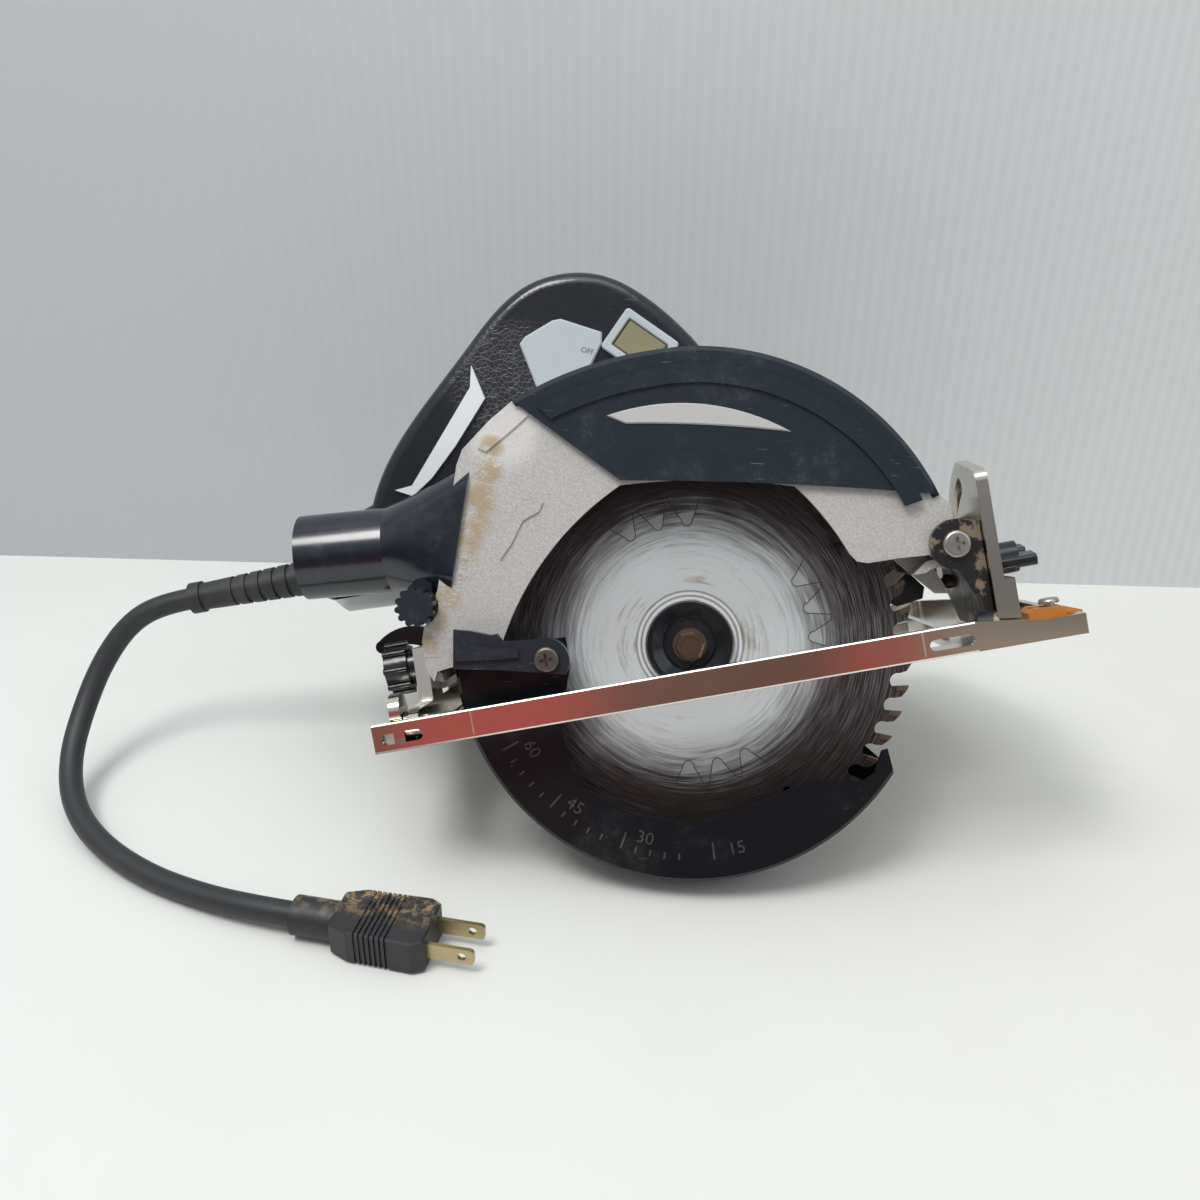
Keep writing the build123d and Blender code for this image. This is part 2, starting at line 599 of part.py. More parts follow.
with BuildPart() as case_cover:
    with BuildSketch(side(COVER_FACE)):
        with BuildLine():
            ThreePointArc(over(115.5), over(101.5), over(87.6))
            ThreePointArc(over(87.6), over(54.8), over(22))
            Line(over(22), (94.6, 38.8))
            ThreePointArc((94.6, 38.8), (42, 52.2), SPLIT_FOOT)
            Line(SPLIT_FOOT, over(115.5))
        make_face()
    extrude(amount=-COVER_T)
    chamfer(case_cover.faces().sort_by(Axis.Y)[0].edges().filter_by(GeomType.CIRCLE).sort_by(
        SortBy.DISTANCE)[-2:], length=1.8)
    with BuildSketch(side(CASE_FRONT)):
        with BuildLine():
            ThreePointArc(over(115.5), over(101.5), over(87.6))
            ThreePointArc(over(87.6), over(54.8), over(22))
            Line(over(22), over(22, COVER_T))
            ThreePointArc(over(22, COVER_T), over(54.8, COVER_T), over(87.6, COVER_T))
            ThreePointArc(over(87.6, COVER_T), over(101.5, COVER_T), over(115.5, COVER_T))
            Line(over(115.5, COVER_T), over(115.5))
        make_face()
    extrude(amount=-COVER_DEPTH)
    with BuildSketch(side(COVER_FACE)):
        with BuildLine():
            ThreePointArc(over(112, 6.5), over(99.8, 6.5), over(87.6, 6.5))
            ThreePointArc(over(87.6, 6.5), over(55.3, 6.5), over(23, 6.5))
            Line(over(23, 6.5), over(24, 13))
            ThreePointArc(over(24, 13), over(55.8, 13), over(87.6, 13))
            ThreePointArc(over(87.6, 13), over(99.3, 13), over(111, 13))
            Line(over(111, 13), over(112, 6.5))
        make_face()
    extrude(amount=COVER_BAND)
    with BuildSketch(side(COVER_FACE)):
        with BuildLine():
            ThreePointArc((-14.5, 87.0), (18.5, 85.0), (48.2, 69.5))
            ThreePointArc((48.2, 69.5), (20.0, 77.2), (-8.4, 83.0))
            Line((-8.4, 83.0), (-14.5, 87.0))
        make_face()
    extrude(amount=-1.4, mode=Mode.SUBTRACT)
saw["case_cover"] = case_cover

with BuildPart() as cover_inlay:
    with BuildSketch(side(COVER_FACE - 0.8)):
        with BuildLine():
            ThreePointArc((-14.5, 87.0), (18.5, 85.0), (48.2, 69.5))
            ThreePointArc((48.2, 69.5), (20.0, 77.2), (-8.4, 83.0))
            Line((-8.4, 83.0), (-14.5, 87.0))
        make_face()
    extrude(amount=-2.2)
    chamfer(cover_inlay.faces().sort_by(Axis.Y)[0].edges(), length=0.5)
saw["cover_inlay"] = cover_inlay

WINDOW_TOP_LEFT = (-14.3, 62.2)
WINDOW_LEFT_FOOT = (-66, 14.9)
EAR_R = 5.4
PORT_LOW = (-86.3, 36.7)  # straight rear edge that the dust nozzle sits on
PORT_HIGH = (-71, 80)
ARM_W = 15.0
ARM_FOOT = (-91.5, 9.6)   # the arm that carries the depth clamp starts here on the case
ARM_MIDDLE = ((ARM_FOOT[0] + BOLT_X) / 2, (ARM_FOOT[1] + BOLT_Z) / 2)

with BuildPart() as blade_case:
    with BuildSketch(side(CASE_FRONT)):
        add(silhouette.sketch_local)
    extrude(amount=-(CASE_BACK - CASE_FRONT))
    with BuildSketch(side(CASE_FRONT + CASE_WALL - 0.5)):
        offset(silhouette.sketch_local, amount=-CASE_WALL)
        with Locations((0, -1)):
            Rectangle(182, 26)
    extrude(amount=-(CASE_BACK - CASE_FRONT - 2 * CASE_WALL + 0.5), mode=Mode.SUBTRACT)
    with BuildSketch(side(CASE_FRONT - 1)):
        with BuildLine():
            ThreePointArc(WINDOW_LEFT_FOOT, (-44, 42.8), WINDOW_TOP_LEFT)
            ThreePointArc(WINDOW_TOP_LEFT, (17.0, 58.3), (46.5, 50.6))
            ThreePointArc((46.5, 50.6), (55, 37.5), (61.4, 23.5))
            Polyline((61.4, 23.5), (63.5, 20.4), (67.1, 19.2), (78.3, 19), (88.8, 18.2), (96, 10), (96, -20),
                     (-102, -20), (-102, 3), (-93.6, 4.3), (-91.8, 7.7), (-85.3, 8.5), (-67.9, 14.8),
                     WINDOW_LEFT_FOOT)
        make_face()
    extrude(amount=-(CASE_WALL + 1.6), mode=Mode.SUBTRACT)
    with BuildSketch(side(CASE_FRONT)):
        with Locations((DEPTH_PIVOT_X, DEPTH_PIVOT_Z)):
            Circle(EAR_R)
    extrude(amount=-(CASE_BACK - CASE_FRONT))
    with BuildSketch(side(CASE_FRONT - 1)):
        with Locations((DEPTH_PIVOT_X, DEPTH_PIVOT_Z)):
            Circle(CLAMP_R + RUN_FIT)
    extrude(amount=-(CASE_BACK - CASE_FRONT + 2), mode=Mode.SUBTRACT)
    with BuildSketch(side(-6)):
        Polygon((77.3, 19.4), (90, 18.2), (95.8, 2.5), (91.2, 3.3), align=None)
    extrude(amount=-3)
    with BuildSketch(side(CASE_BACK - CASE_WALL - 1)):
        Circle(HUB_R + RUN_FIT)
    extrude(amount=-(CASE_WALL + 2), mode=Mode.SUBTRACT)
    with BuildSketch(side(CASE_BACK)):
        SlotCenterPoint(center=ARM_MIDDLE, point=(BOLT_X, BOLT_Z), height=ARM_W)
    extrude(amount=-(HANDLE_LEFT + 1.5 - CASE_BACK))
    with BuildSketch(side(HANDLE_LEFT + 3)):
        with Locations((BOLT_X, BOLT_Z)):
            Circle(CLAMP_R + RUN_FIT)
    extrude(amount=16, mode=Mode.SUBTRACT)
    add(case_cover.part, mode=Mode.SUBTRACT)
    with BuildSketch(Plane(origin=(-79, 0, 59), x_dir=(0, 1, 0), z_dir=(-0.943, 0, 0.333))):
        RectangleRounded(30, 36, 8)
    extrude(amount=14, both=True, mode=Mode.SUBTRACT)
saw["blade_case"] = blade_case

# ---- Lower guard ----------------------------------------------------------------------------------
LEVER_SCREW = (-50.6, 5.9)
LEVER_BOSS_R = 6.0
LEVER_BACK = COVER_FACE - COVER_BAND - PLAY
LEVER_T = 3.6
GUARD_INNER_R = GUARD_R - GUARD_WALL - 0.8
HUB_BORE = HUB_R + 0.1

with BuildPart() as lower_guard:
    with BuildSketch(side(GUARD_FRONT)):
        with BuildLine():
            CenterArc((0, 0), GUARD_R, GUARD_START, GUARD_END - GUARD_START)
            Polyline(polar(GUARD_R, GUARD_END), (63.9, -48.8), (61.6, -49.2), (57.6, -57.0), (51.5, -59.6))
            Spline((51.5, -59.6), (41.6, -56.9), (30.6, -56.8), (15.2, -61.0), (-0.2, -64.1), (-14.9, -62.8),
                   (-29.1, -58.5), (-39.4, -53.0), (-45.7, -46.7), (-50.1, -39.5), (-52.0, -29.7),
                   (-50.8, -18.6), (-44.2, 1.0))
            Polyline((-44.2, 1.0), (-44.2, 11.5), (-58, 12.0), polar(GUARD_R, GUARD_START))
        make_face()
    extrude(amount=-GUARD_WALL)
    with BuildSketch(side(GUARD_BACK)):
        with BuildLine():
            CenterArc((0, 0), GUARD_R, GUARD_START, GUARD_END - GUARD_START)
            Polyline(polar(GUARD_R, GUARD_END), (30, -14), (-10, 22), (-30, 20), polar(GUARD_R, GUARD_START))
        make_face()
        Circle(HUB_R + HUB_WALL)
    extrude(amount=GUARD_WALL)
    with BuildSketch(side(GUARD_FRONT)):
        with BuildLine():
            CenterArc((0, 0), GUARD_R, GUARD_START, GUARD_END - GUARD_START)
            Line(polar(GUARD_R, GUARD_END), polar(GUARD_INNER_R, GUARD_END))
            CenterArc((0, 0), GUARD_INNER_R, GUARD_END, GUARD_START - GUARD_END)
            Line(polar(GUARD_INNER_R, GUARD_START), polar(GUARD_R, GUARD_START))
        make_face()
    extrude(amount=-(GUARD_BACK - GUARD_FRONT))
    with BuildSketch(side(GUARD_BACK)):
        Circle(HUB_R + HUB_WALL)
    extrude(amount=GUARD_BACK - BOSS_FRONT - PLAY)
    with BuildSketch(side(GUARD_BACK + 1)):
        Circle(HUB_BORE)
    extrude(amount=GUARD_BACK - BOSS_FRONT + 2, mode=Mode.SUBTRACT)
    with BuildSketch(side(LEVER_BACK)):
        with Locations(LEVER_SCREW):
            Circle(LEVER_BOSS_R)
    extrude(amount=-(GUARD_FRONT - LEVER_BACK))
    with BuildSketch(side(LEVER_BACK)):
        with Locations(LEVER_SCREW):
            Circle(2.0)
    extrude(amount=-(GUARD_FRONT + 0.5 - LEVER_BACK), mode=Mode.SUBTRACT)
    chamfer(lower_guard.edges().filter_by(GeomType.CIRCLE).filter_by(
        lambda edge: abs(edge.radius - GUARD_R) < 0.01 and abs((edge @ 0.5).Y - GUARD_FRONT) < 0.01), length=1.4)
saw["lower_guard"] = lower_guard

with BuildPart() as guard_lever:
    with BuildSketch(side(LEVER_BACK)):
        with BuildLine():
            Polyline((-84.4, 8.2), (-81.7, 22.1), (-76.0, 20.6), (-68.8, 17.8), (-66.5, 17.9), (-65.3, 14.8),
                     (-52.0, 13.4))
            ThreePointArc((-52.0, 13.4), (-43.4, 8.6), (-45.0, -0.6))
            Polyline((-45.0, -0.6), (-66.0, 4.6), (-84.4, 8.2))
        make_face()
        with Locations(LEVER_SCREW):
            Circle(2.0, mode=Mode.SUBTRACT)
    extrude(amount=LEVER_T)
    with BuildSketch(side(LEVER_BACK - LEVER_T)):
        Polygon((-83.2, 11.0), (-82.2, 17.0), (-66.0, 12.6), (-60.0, 11.6), (-60.0, 8.4), (-66.0, 8.8), align=None)
    extrude(amount=1.6)
saw["guard_lever"] = guard_lever

with BuildPart() as guard_lever_screw:
    with BuildSketch(side(LEVER_BACK - LEVER_T)):
        with Locations(LEVER_SCREW):
            Circle(4.6)
    extrude(amount=2.2)
    fillet(guard_lever_screw.faces().sort_by(Axis.Y)[0].edges(), radius=1.2)
    with BuildSketch(side(LEVER_BACK - LEVER_T)):
        with Locations(LEVER_SCREW):
            Circle(2.0 - RUN_FIT)
    extrude(amount=-(LEVER_T + 8))
    with BuildSketch(side(LEVER_BACK - LEVER_T - 2.2)):
        with Locations(LEVER_SCREW):
            Rectangle(4.6, 1.1)
            Rectangle(1.1, 4.6)
    extrude(amount=-1.5, mode=Mode.SUBTRACT)
saw["guard_lever_screw"] = guard_lever_screw

with BuildPart() as guard_retainer:
    with BuildSketch(side(BOSS_FRONT)):
        Circle(HUB_R + 2.2)
        Circle(BEARING_SEAT_R, mode=Mode.SUBTRACT)
    extrude(amount=1.0)
saw["guard_retainer"] = guard_retainer

SPRING_R = 27.0
SPRING_WIRE = 0.7
with BuildPart() as guard_spring:
    with BuildLine():
        coil = Helix(pitch=2 * SPRING_WIRE + 0.3, height=3.2, radius=SPRING_R,
                     center=(0, GUARD_BACK + PLAY + SPRING_WIRE + 0.1, 0), direction=(0, 1, 0))
    with BuildSketch(Plane(origin=coil @ 0, z_dir=coil % 0)):
        RegularPolygon(SPRING_WIRE, 6)
    sweep(path=coil)
saw["guard_spring"] = guard_spring

# ---- Dust nozzle ----------------------------------------------------------------------------------
MOUTH = (-138, 0, 57.65)
NECK = (-105, 0, 54.8)
NOZZLE_AXIS = Vector(NECK[0] - MOUTH[0], 0, NECK[2] - MOUTH[2]).normalized()
PORT_LINE = Vector(PORT_HIGH[0] - PORT_LOW[0], 0, PORT_HIGH[1] - PORT_LOW[1]).normalized()
PORT_NORMAL = Vector(PORT_LINE.Z, 0, -PORT_LINE.X)
PORT_MIDDLE = Vector((PORT_LOW[0] + PORT_HIGH[0]) / 2, 0, (PORT_LOW[1] + PORT_HIGH[1]) / 2)
NOZZLE_OVERLAP = 5.0      # how far the scoop reaches over the case's sides
mouth_plane = Plane(origin=MOUTH, x_dir=(0, 1, 0), z_dir=NOZZLE_AXIS)
neck_plane = Plane(origin=NECK, x_dir=(0, 1, 0), z_dir=NOZZLE_AXIS)
port_plane = Plane(origin=PORT_MIDDLE + PORT_NORMAL * NOZZLE_OVERLAP, x_dir=(0, 1, 0), z_dir=PORT_NORMAL)
NOZZLE_SCREW = (-94.3, 32.5)

with BuildPart() as dust_nozzle:
    with BuildSketch(mouth_plane):
        Circle(NOZZLE_R)
    extrude(amount=(Vector(*NECK) - Vector(*MOUTH)).length)
    with BuildSketch(neck_plane):
        Circle(NOZZLE_R)
    with BuildSketch(port_plane):
        RectangleRounded(2 * (CASE_BACK + 2.2), 50, 10)
    loft()
    with BuildSketch(side(CASE_FRONT + 8)):
        with BuildLine():
            Polyline((-88, 44), (-97, 40), (-100.5, 32.5))
            ThreePointArc((-100.5, 32.5), (-94.3, 26.3), (-89.3, 30.0))
            Line((-89.3, 30.0), (-88, 44))
        make_face()
    extrude(amount=6)
    with BuildSketch(mouth_plane):
        Circle(NOZZLE_R - NOZZLE_WALL)
    extrude(amount=(Vector(*NECK) - Vector(*MOUTH)).length, mode=Mode.SUBTRACT)
    with BuildSketch(neck_plane):
        Circle(NOZZLE_R - NOZZLE_WALL)
    with BuildSketch(port_plane):
        RectangleRounded(2 * (CASE_BACK + 2.2 - NOZZLE_WALL), 44, 8)
    loft(mode=Mode.SUBTRACT)
    with BuildSketch(side(CASE_FRONT)):
        add(silhouette.sketch_local)
    extrude(amount=-(CASE_BACK - CASE_FRONT), mode=Mode.SUBTRACT)
    with BuildSketch(side(CASE_FRONT)):
        with Locations(NOZZLE_SCREW):
            Circle(2.4 + RUN_FIT)
    extrude(amount=-12, mode=Mode.SUBTRACT)
saw["dust_nozzle"] = dust_nozzle

with BuildPart() as nozzle_screw:
    with BuildSketch(side(CASE_FRONT + 2)):
        with Locations(NOZZLE_SCREW):
            Circle(6.0)
            with PolarLocations(6.0, 12):
                Circle(1.2)
    extrude(amount=9)
    with BuildSketch(side(CASE_FRONT + 2)):
        with Locations(NOZZLE_SCREW):
            Circle(2.4)
    extrude(amount=-9)
saw["nozzle_screw"] = nozzle_screw
with blade_case:
    with BuildSketch(side(CASE_FRONT + 2)):
        with Locations(NOZZLE_SCREW):
            Circle(6.0 + 1.2 + PLAY)
    extrude(amount=9, mode=Mode.SUBTRACT)

# ---- Handle ---------------------------------------------------------------------------------------
TAIL_Z = 39.7
TAIL_X = -150.0
SEAT_GAP = 0.3            # between the handle and the motor housing
CORD_Y = HANDLE_SPLIT


def motor_point(radius, degrees):
    """Point at a radius and an angle about the motor axis."""
    return polar(radius, degrees, (MOTOR_X, MOTOR_Z))


with BuildSketch() as grip:
    with BuildLine():
        ThreePointArc(motor_point(MOTOR_R + SEAT_GAP, 30), motor_point(MOTOR_R + SEAT_GAP, 100),
                      motor_point(MOTOR_R + SEAT_GAP, 175))
        Polyline(motor_point(MOTOR_R + SEAT_GAP, 175), (-140, TAIL_Z), (TAIL_X, 45), (TAIL_X, 60), (-136, 68.5),
                 (-116.6, 75))
        Spline((-116.6, 75), (-103.3, 95.5), (-87.6, 111.2), (-67.4, 129.2), (-52.4, 142.0), (-38.7, 149.2),
               (-26, HANDLE_TOP_Z), (-8.5, 147.2), (7.0, 135.5), (24.5, 112.4), (35, 92))
        Polyline((35, 92), (36, 70), motor_point(MOTOR_R + SEAT_GAP, 30))
    make_face()
    with BuildLine():
        ThreePointArc(motor_point(MOTOR_R + 5, 138), motor_point(MOTOR_R + 5, 100), motor_point(MOTOR_R + 5, 62))
        Spline(motor_point(MOTOR_R + 5, 62), (13.5, 86), (10, 97), (-8, 107), (-30, 106), (-50, 97), (-64, 84),
               (-62, 72), motor_point(MOTOR_R + 5, 138))
    make_face(mode=Mode.SUBTRACT)

with BuildSketch() as trigger_pocket:
    Polygon((-17, 98), (15, 90), (16.5, 105), (-14.5, 114.5), align=None)

LAMP_SWITCH_CENTRE = (1.2, 116.5)
LAMP_SWITCH_TURN = math.radians(-45.4)
BEZEL_L = 25.0
BEZEL_W = 18.6
BEZEL_T = 3.0
BEZEL_RIM = 3.2
LOCK_X = -2.0
LOCK_Z = 112.0


SHARP_R = 48.0            # edges nearer the motor axis than this stay sharp
HANDLE_SCREWS = ((-52, 120), (-92, 86), (-128, 52), (28, 80))


def handle_half(start, end, face):
    """One half of the handle, its outer face rounded, with the pockets and the cord's seat."""
    with BuildPart() as half:
        with BuildSketch(side(start)):
            add(grip.sketch_local)
        extrude(amount=-(end - start))
        outer = half.faces().filter_by(Axis.Y).sort_by(Axis.Y)[face]
        rounded = outer.edges().filter_by(
            lambda edge: math.hypot((edge @ 0.5).X - MOTOR_X, (edge @ 0.5).Z - MOTOR_Z) > SHARP_R)
        fillet(rounded, radius=HANDLE_ROUND)
        with BuildSketch(side(HANDLE_SPLIT - 8.5)):
            add(trigger_pocket.sketch_local)
        extrude(amount=-17, mode=Mode.SUBTRACT)
        with BuildSketch(Plane(origin=(TAIL_X, CORD_Y, CORD_EXIT_Z), x_dir=(0, 1, 0), z_dir=(1, 0, 0))):
            Circle(8.0 + RUN_FIT)
        extrude(amount=10, mode=Mode.SUBTRACT)
        with BuildSketch(side(HANDLE_LEFT - 9)):
            with Locations((LOCK_X, LOCK_Z)):
                Circle(5.0 + PLAY)
        extrude(amount=-10, mode=Mode.SUBTRACT)
        with BuildSketch(side(HANDLE_LEFT)):
            with Locations(*HANDLE_SCREWS):
                Circle(SCREW_HEAD_R)
        extrude(amount=SCREW_HEAD_T, mode=Mode.SUBTRACT)
    return half


handle_right = handle_half(HANDLE_RIGHT, HANDLE_SPLIT, 0)
saw["handle_right"] = handle_right
handle_left = handle_half(HANDLE_SPLIT, HANDLE_LEFT, -1)
saw["handle_left"] = handle_left

with housing_screws:
    with BuildSketch(side(HANDLE_LEFT)):
        with Locations(*HANDLE_SCREWS):
            Circle(SCREW_HEAD_R)
            Rectangle(4.2, 1.0, mode=Mode.SUBTRACT)
            Rectangle(1.0, 4.2, mode=Mode.SUBTRACT)
    extrude(amount=SCREW_HEAD_T)

with BuildPart() as tail_cover:
    with BuildSketch(side(HANDLE_RIGHT + 2)):
        with BuildLine():
            Polyline((-57.5, TAIL_Z), (-139, TAIL_Z), (-134, 34.0), (-110, 33.0), (-70, 33.0),
                     (-57.5, 34.0), (-57.5, TAIL_Z))
        make_face()
    extrude(amount=-(HANDLE_W - 4))
    fillet(tail_cover.faces().sort_by(Axis.Z)[0].edges().filter_by(Axis.X), radius=3)
saw["tail_cover"] = tail_cover

PANEL_T = 1.8
with BuildPart() as handle_panel:
    with BuildSketch(side(HANDLE_RIGHT)):
        with BuildLine():
            Polyline((-41.2, 104.5), (-45.4, 126.0), (-42.8, 128.4), (-31.0, 132.6), (-27.6, 132.6), (-12.6, 124.4),
                     (-13.5, 120.0), (-22, 108.5), (-41.2, 104.5))
        make_face()
    extrude(amount=PANEL_T)
    chamfer(handle_panel.faces().sort_by(Axis.Y)[0].edges(), length=0.6)
saw["handle_panel"] = handle_panel

with BuildPart() as handle_stripe:
    with BuildSketch(side(HANDLE_RIGHT)):
        Polygon((-105.2, 78.6), (-98.0, 79.2), (-67.9, 113.0), (-65.8, 121.5), (-62.8, 107.7), (-77.8, 91.5),
                (-89.6, 80.6), (-98.4, 75.0), align=None)
    extrude(amount=PANEL_T)
saw["handle_stripe"] = handle_stripe

bezel_plane = Plane(origin=(LAMP_SWITCH_CENTRE[0], HANDLE_RIGHT, LAMP_SWITCH_CENTRE[1]), z_dir=(0, -1, 0),
                    x_dir=(math.cos(LAMP_SWITCH_TURN), 0, math.sin(LAMP_SWITCH_TURN)))
with BuildPart() as light_switch_bezel:
    with BuildSketch(bezel_plane):
        RectangleRounded(BEZEL_L, BEZEL_W, 1.5)
        RectangleRounded(BEZEL_L - 2 * BEZEL_RIM, BEZEL_W - 2 * BEZEL_RIM, 0.6, mode=Mode.SUBTRACT)
    extrude(amount=BEZEL_T)
    chamfer(light_switch_bezel.faces().sort_by(Axis.Y)[0].edges(), length=0.5)
saw["light_switch_bezel"] = light_switch_bezel

with BuildPart() as light_switch_rocker:
    with BuildSketch(bezel_plane.offset(1.2)):
        Rectangle(BEZEL_L - 2 * BEZEL_RIM - 1.2, BEZEL_W - 2 * BEZEL_RIM - 0.6)
    extrude(amount=BEZEL_T - 1.6)
    chamfer(light_switch_rocker.faces().sort_by(Axis.Y)[0].edges(), length=0.6)
saw["light_switch_rocker"] = light_switch_rocker

TRIGGER_W = 15.6
with BuildPart() as trigger:
    with BuildSketch(side(HANDLE_SPLIT - TRIGGER_W / 2)):
        with BuildLine():
            Polyline((-14.5, 99.2), (-12.8, 108.0), (13.0, 100.0), (13.2, 92.0))
            ThreePointArc((13.2, 92.0), (2.0, 90.5), (-14.5, 99.2))
        make_face()
    extrude(amount=-TRIGGER_W)
    fillet(trigger.faces().sort_by(Axis.Z)[0].edges().filter_by(GeomType.CIRCLE), radius=2.5)
saw["trigger"] = trigger

LOCK_TRAVEL = 2.0
with BuildPart() as lock_off_button:
    with BuildSketch(side(HANDLE_LEFT - 8.7 + LOCK_TRAVEL)):
        with Locations((LOCK_X, LOCK_Z)):
            Circle(5.0)
    extrude(amount=-(8.7 + 1.5))
    fillet(lock_off_button.faces().sort_by(Axis.Y)[-1].edges(), radius=1.2)
saw["lock_off_button"] = lock_off_button

# ---- Shaft lock and work lamp ---------------------------------------------------------------------
SHAFT_LOCK_TRAVEL = 2.0
SHAFT_LOCK_Y = STAGE_TWO_Y + STAGE_TWO_W / 2
SHAFT_LOCK_TIP = SPINDLE_GEAR_R + ADDENDUM * GEAR_MODULE + 0.5 + SHAFT_LOCK_TRAVEL
SHELL_REACH = COUNTER_X + math.sqrt(WHEEL_SHELL_R ** 2 - COUNTER_Z ** 2) + 2.6
with gear_housing:
    with BuildSketch(front(SPINDLE_GEAR_R)):
        with Locations((SHAFT_LOCK_Y, 0)):
            Circle(2.5 + RUN_FIT)
    extrude(amount=SHELL_REACH, mode=Mode.SUBTRACT)

with BuildPart() as shaft_lock:
    with BuildSketch(front(SHAFT_LOCK_TIP)):
        with Locations((SHAFT_LOCK_Y, 0)):
            Circle(2.5)
    extrude(amount=SHELL_REACH + SHAFT_LOCK_TRAVEL + 1 - SHAFT_LOCK_TIP)
    with BuildSketch(front(SHELL_REACH + SHAFT_LOCK_TRAVEL + 0.5)):
        with Locations((SHAFT_LOCK_Y, 0)):
            Circle(5.5)
    extrude(amount=4.5)
    fillet(shaft_lock.faces().sort_by(Axis.X)[-1].edges(), radius=1)
saw["shaft_lock"] = shaft_lock

LAMP_END = 33.0
with BuildPart() as work_lamp:
    with BuildSketch(side(CASE_BACK)):
        Polygon((76.5, 12.8), (81.5, 13.4), (86.6, 12.0), (92.6, 4.2), (91.2, -0.1), (81.1, -1.5), (77, 2), align=None)
    extrude(amount=-(LAMP_END - CASE_BACK))
    fillet(work_lamp.faces().sort_by(Axis.Y)[-1].edges(), radius=2)
    with BuildSketch(Plane(origin=(86.1, CASE_BACK + 6.5, -0.8), x_dir=(0, 1, 0), z_dir=(0.137, 0, -0.99))):
        Circle(4.4)
    extrude(amount=-1.5, mode=Mode.SUBTRACT)
saw["work_lamp"] = work_lamp

# ---- Front bracket and bevel quadrant -------------------------------------------------------------
CHEEK_T = 3.5
CHEEK_R = 8.8
WEB_T = 3.2
WEB_END = QUADRANT_X - PLAY
BARREL_R = 4.7
PIN_R = 2.5
BRACKET_LEFT = 33.0

with BuildSketch() as cheek:
    with Locations((DEPTH_PIVOT_X, DEPTH_PIVOT_Z)):
        Circle(CHEEK_R)
    Polygon((96.5, 29.3), (WEB_END, 27.4), (WEB_END, 2.0), (101.0, 2.0), (97.3, 11.0), (91.5, 14.2), align=None)

with BuildPart() as front_bracket:
    for start in (CASE_FRONT - PLAY - CHEEK_T, CASE_BACK + PLAY):
        with BuildSketch(side(start)):
            add(cheek.sketch_local)
        extrude(amount=-CHEEK_T)
    with BuildSketch(front(WEB_END)):
        with BuildLine():
            Polyline((CASE_FRONT - PLAY - CHEEK_T, -7), (CASE_FRONT - PLAY - CHEEK_T, 27.4),
                     (CASE_BACK + PLAY + CHEEK_T, 27.4), (BRACKET_LEFT, 18), (BRACKET_LEFT, 0), (18, -10.5),
                     (-18, -10.5), (-20, -7), (CASE_FRONT - PLAY - CHEEK_T, -7))
        make_face()
    extrude(amount=-WEB_T)
    with BuildSketch(front(WEB_END)):
        with Locations((BEVEL_Y, BEVEL_Z)):
            Circle(BARREL_R)
    extrude(amount=-7)
    with BuildSketch(front(WEB_END + 1)):
        with Locations((BEVEL_Y, BEVEL_Z)):
            Circle(PIN_R + RUN_FIT)
        with Locations((BEVEL_BOLT_Y, BEVEL_BOLT_Z)):
            Circle(CLAMP_R + RUN_FIT)
    extrude(amount=-10, mode=Mode.SUBTRACT)
    with BuildSketch(side(CASE_FRONT - CHEEK_T - 1)):
        with Locations((DEPTH_PIVOT_X, DEPTH_PIVOT_Z)):
            Circle(CLAMP_R + RUN_FIT)
    extrude(amount=-(CASE_BACK - CASE_FRONT + 2 * CHEEK_T + 2), mode=Mode.SUBTRACT)
    with BuildSketch(front(WEB_END - WEB_T)):
        with Locations((BEVEL_BOLT_Y, BEVEL_BOLT_Z)):
            Circle(6.2)
    extrude(amount=-5, mode=Mode.SUBTRACT)
saw["front_bracket"] = front_bracket

with BuildPart() as pivot_screw:
    with BuildSketch(side(CASE_FRONT - PLAY - CHEEK_T)):
        with Locations((DEPTH_PIVOT_X, DEPTH_PIVOT_Z)):
            Circle(4.9)
    extrude(amount=2.6)
    fillet(pivot_screw.faces().sort_by(Axis.Y)[0].edges(), radius=1.2)
    with BuildSketch(side(CASE_FRONT - PLAY - CHEEK_T)):
        with Locations((DEPTH_PIVOT_X, DEPTH_PIVOT_Z)):
            Circle(CLAMP_R)
    extrude(amount=-(CASE_BACK - CASE_FRONT + 2 * CHEEK_T + 2 * PLAY + 2))
    with BuildSketch(side(CASE_BACK + PLAY + CHEEK_T)):
        with Locations((DEPTH_PIVOT_X, DEPTH_PIVOT_Z)):
            RegularPolygon(4.6, 6, major_radius=False)
    extrude(amount=-3.5)
    with BuildSketch(side(CASE_FRONT - PLAY - CHEEK_T - 2.6)):
        with Locations((DEPTH_PIVOT_X, DEPTH_PIVOT_Z)):
            Rectangle(5, 1.2)
            Rectangle(1.2, 5)
    extrude(amount=-1.6, mode=Mode.SUBTRACT)
saw["pivot_screw"] = pivot_screw


def bevel_point(radius, degrees):
    """Point at a radius from the bevel axis, at an angle from upright towards the motor side."""
    angle = math.radians(degrees)
    return (BEVEL_Y + radius * math.sin(angle), BEVEL_Z + radius * math.cos(angle))


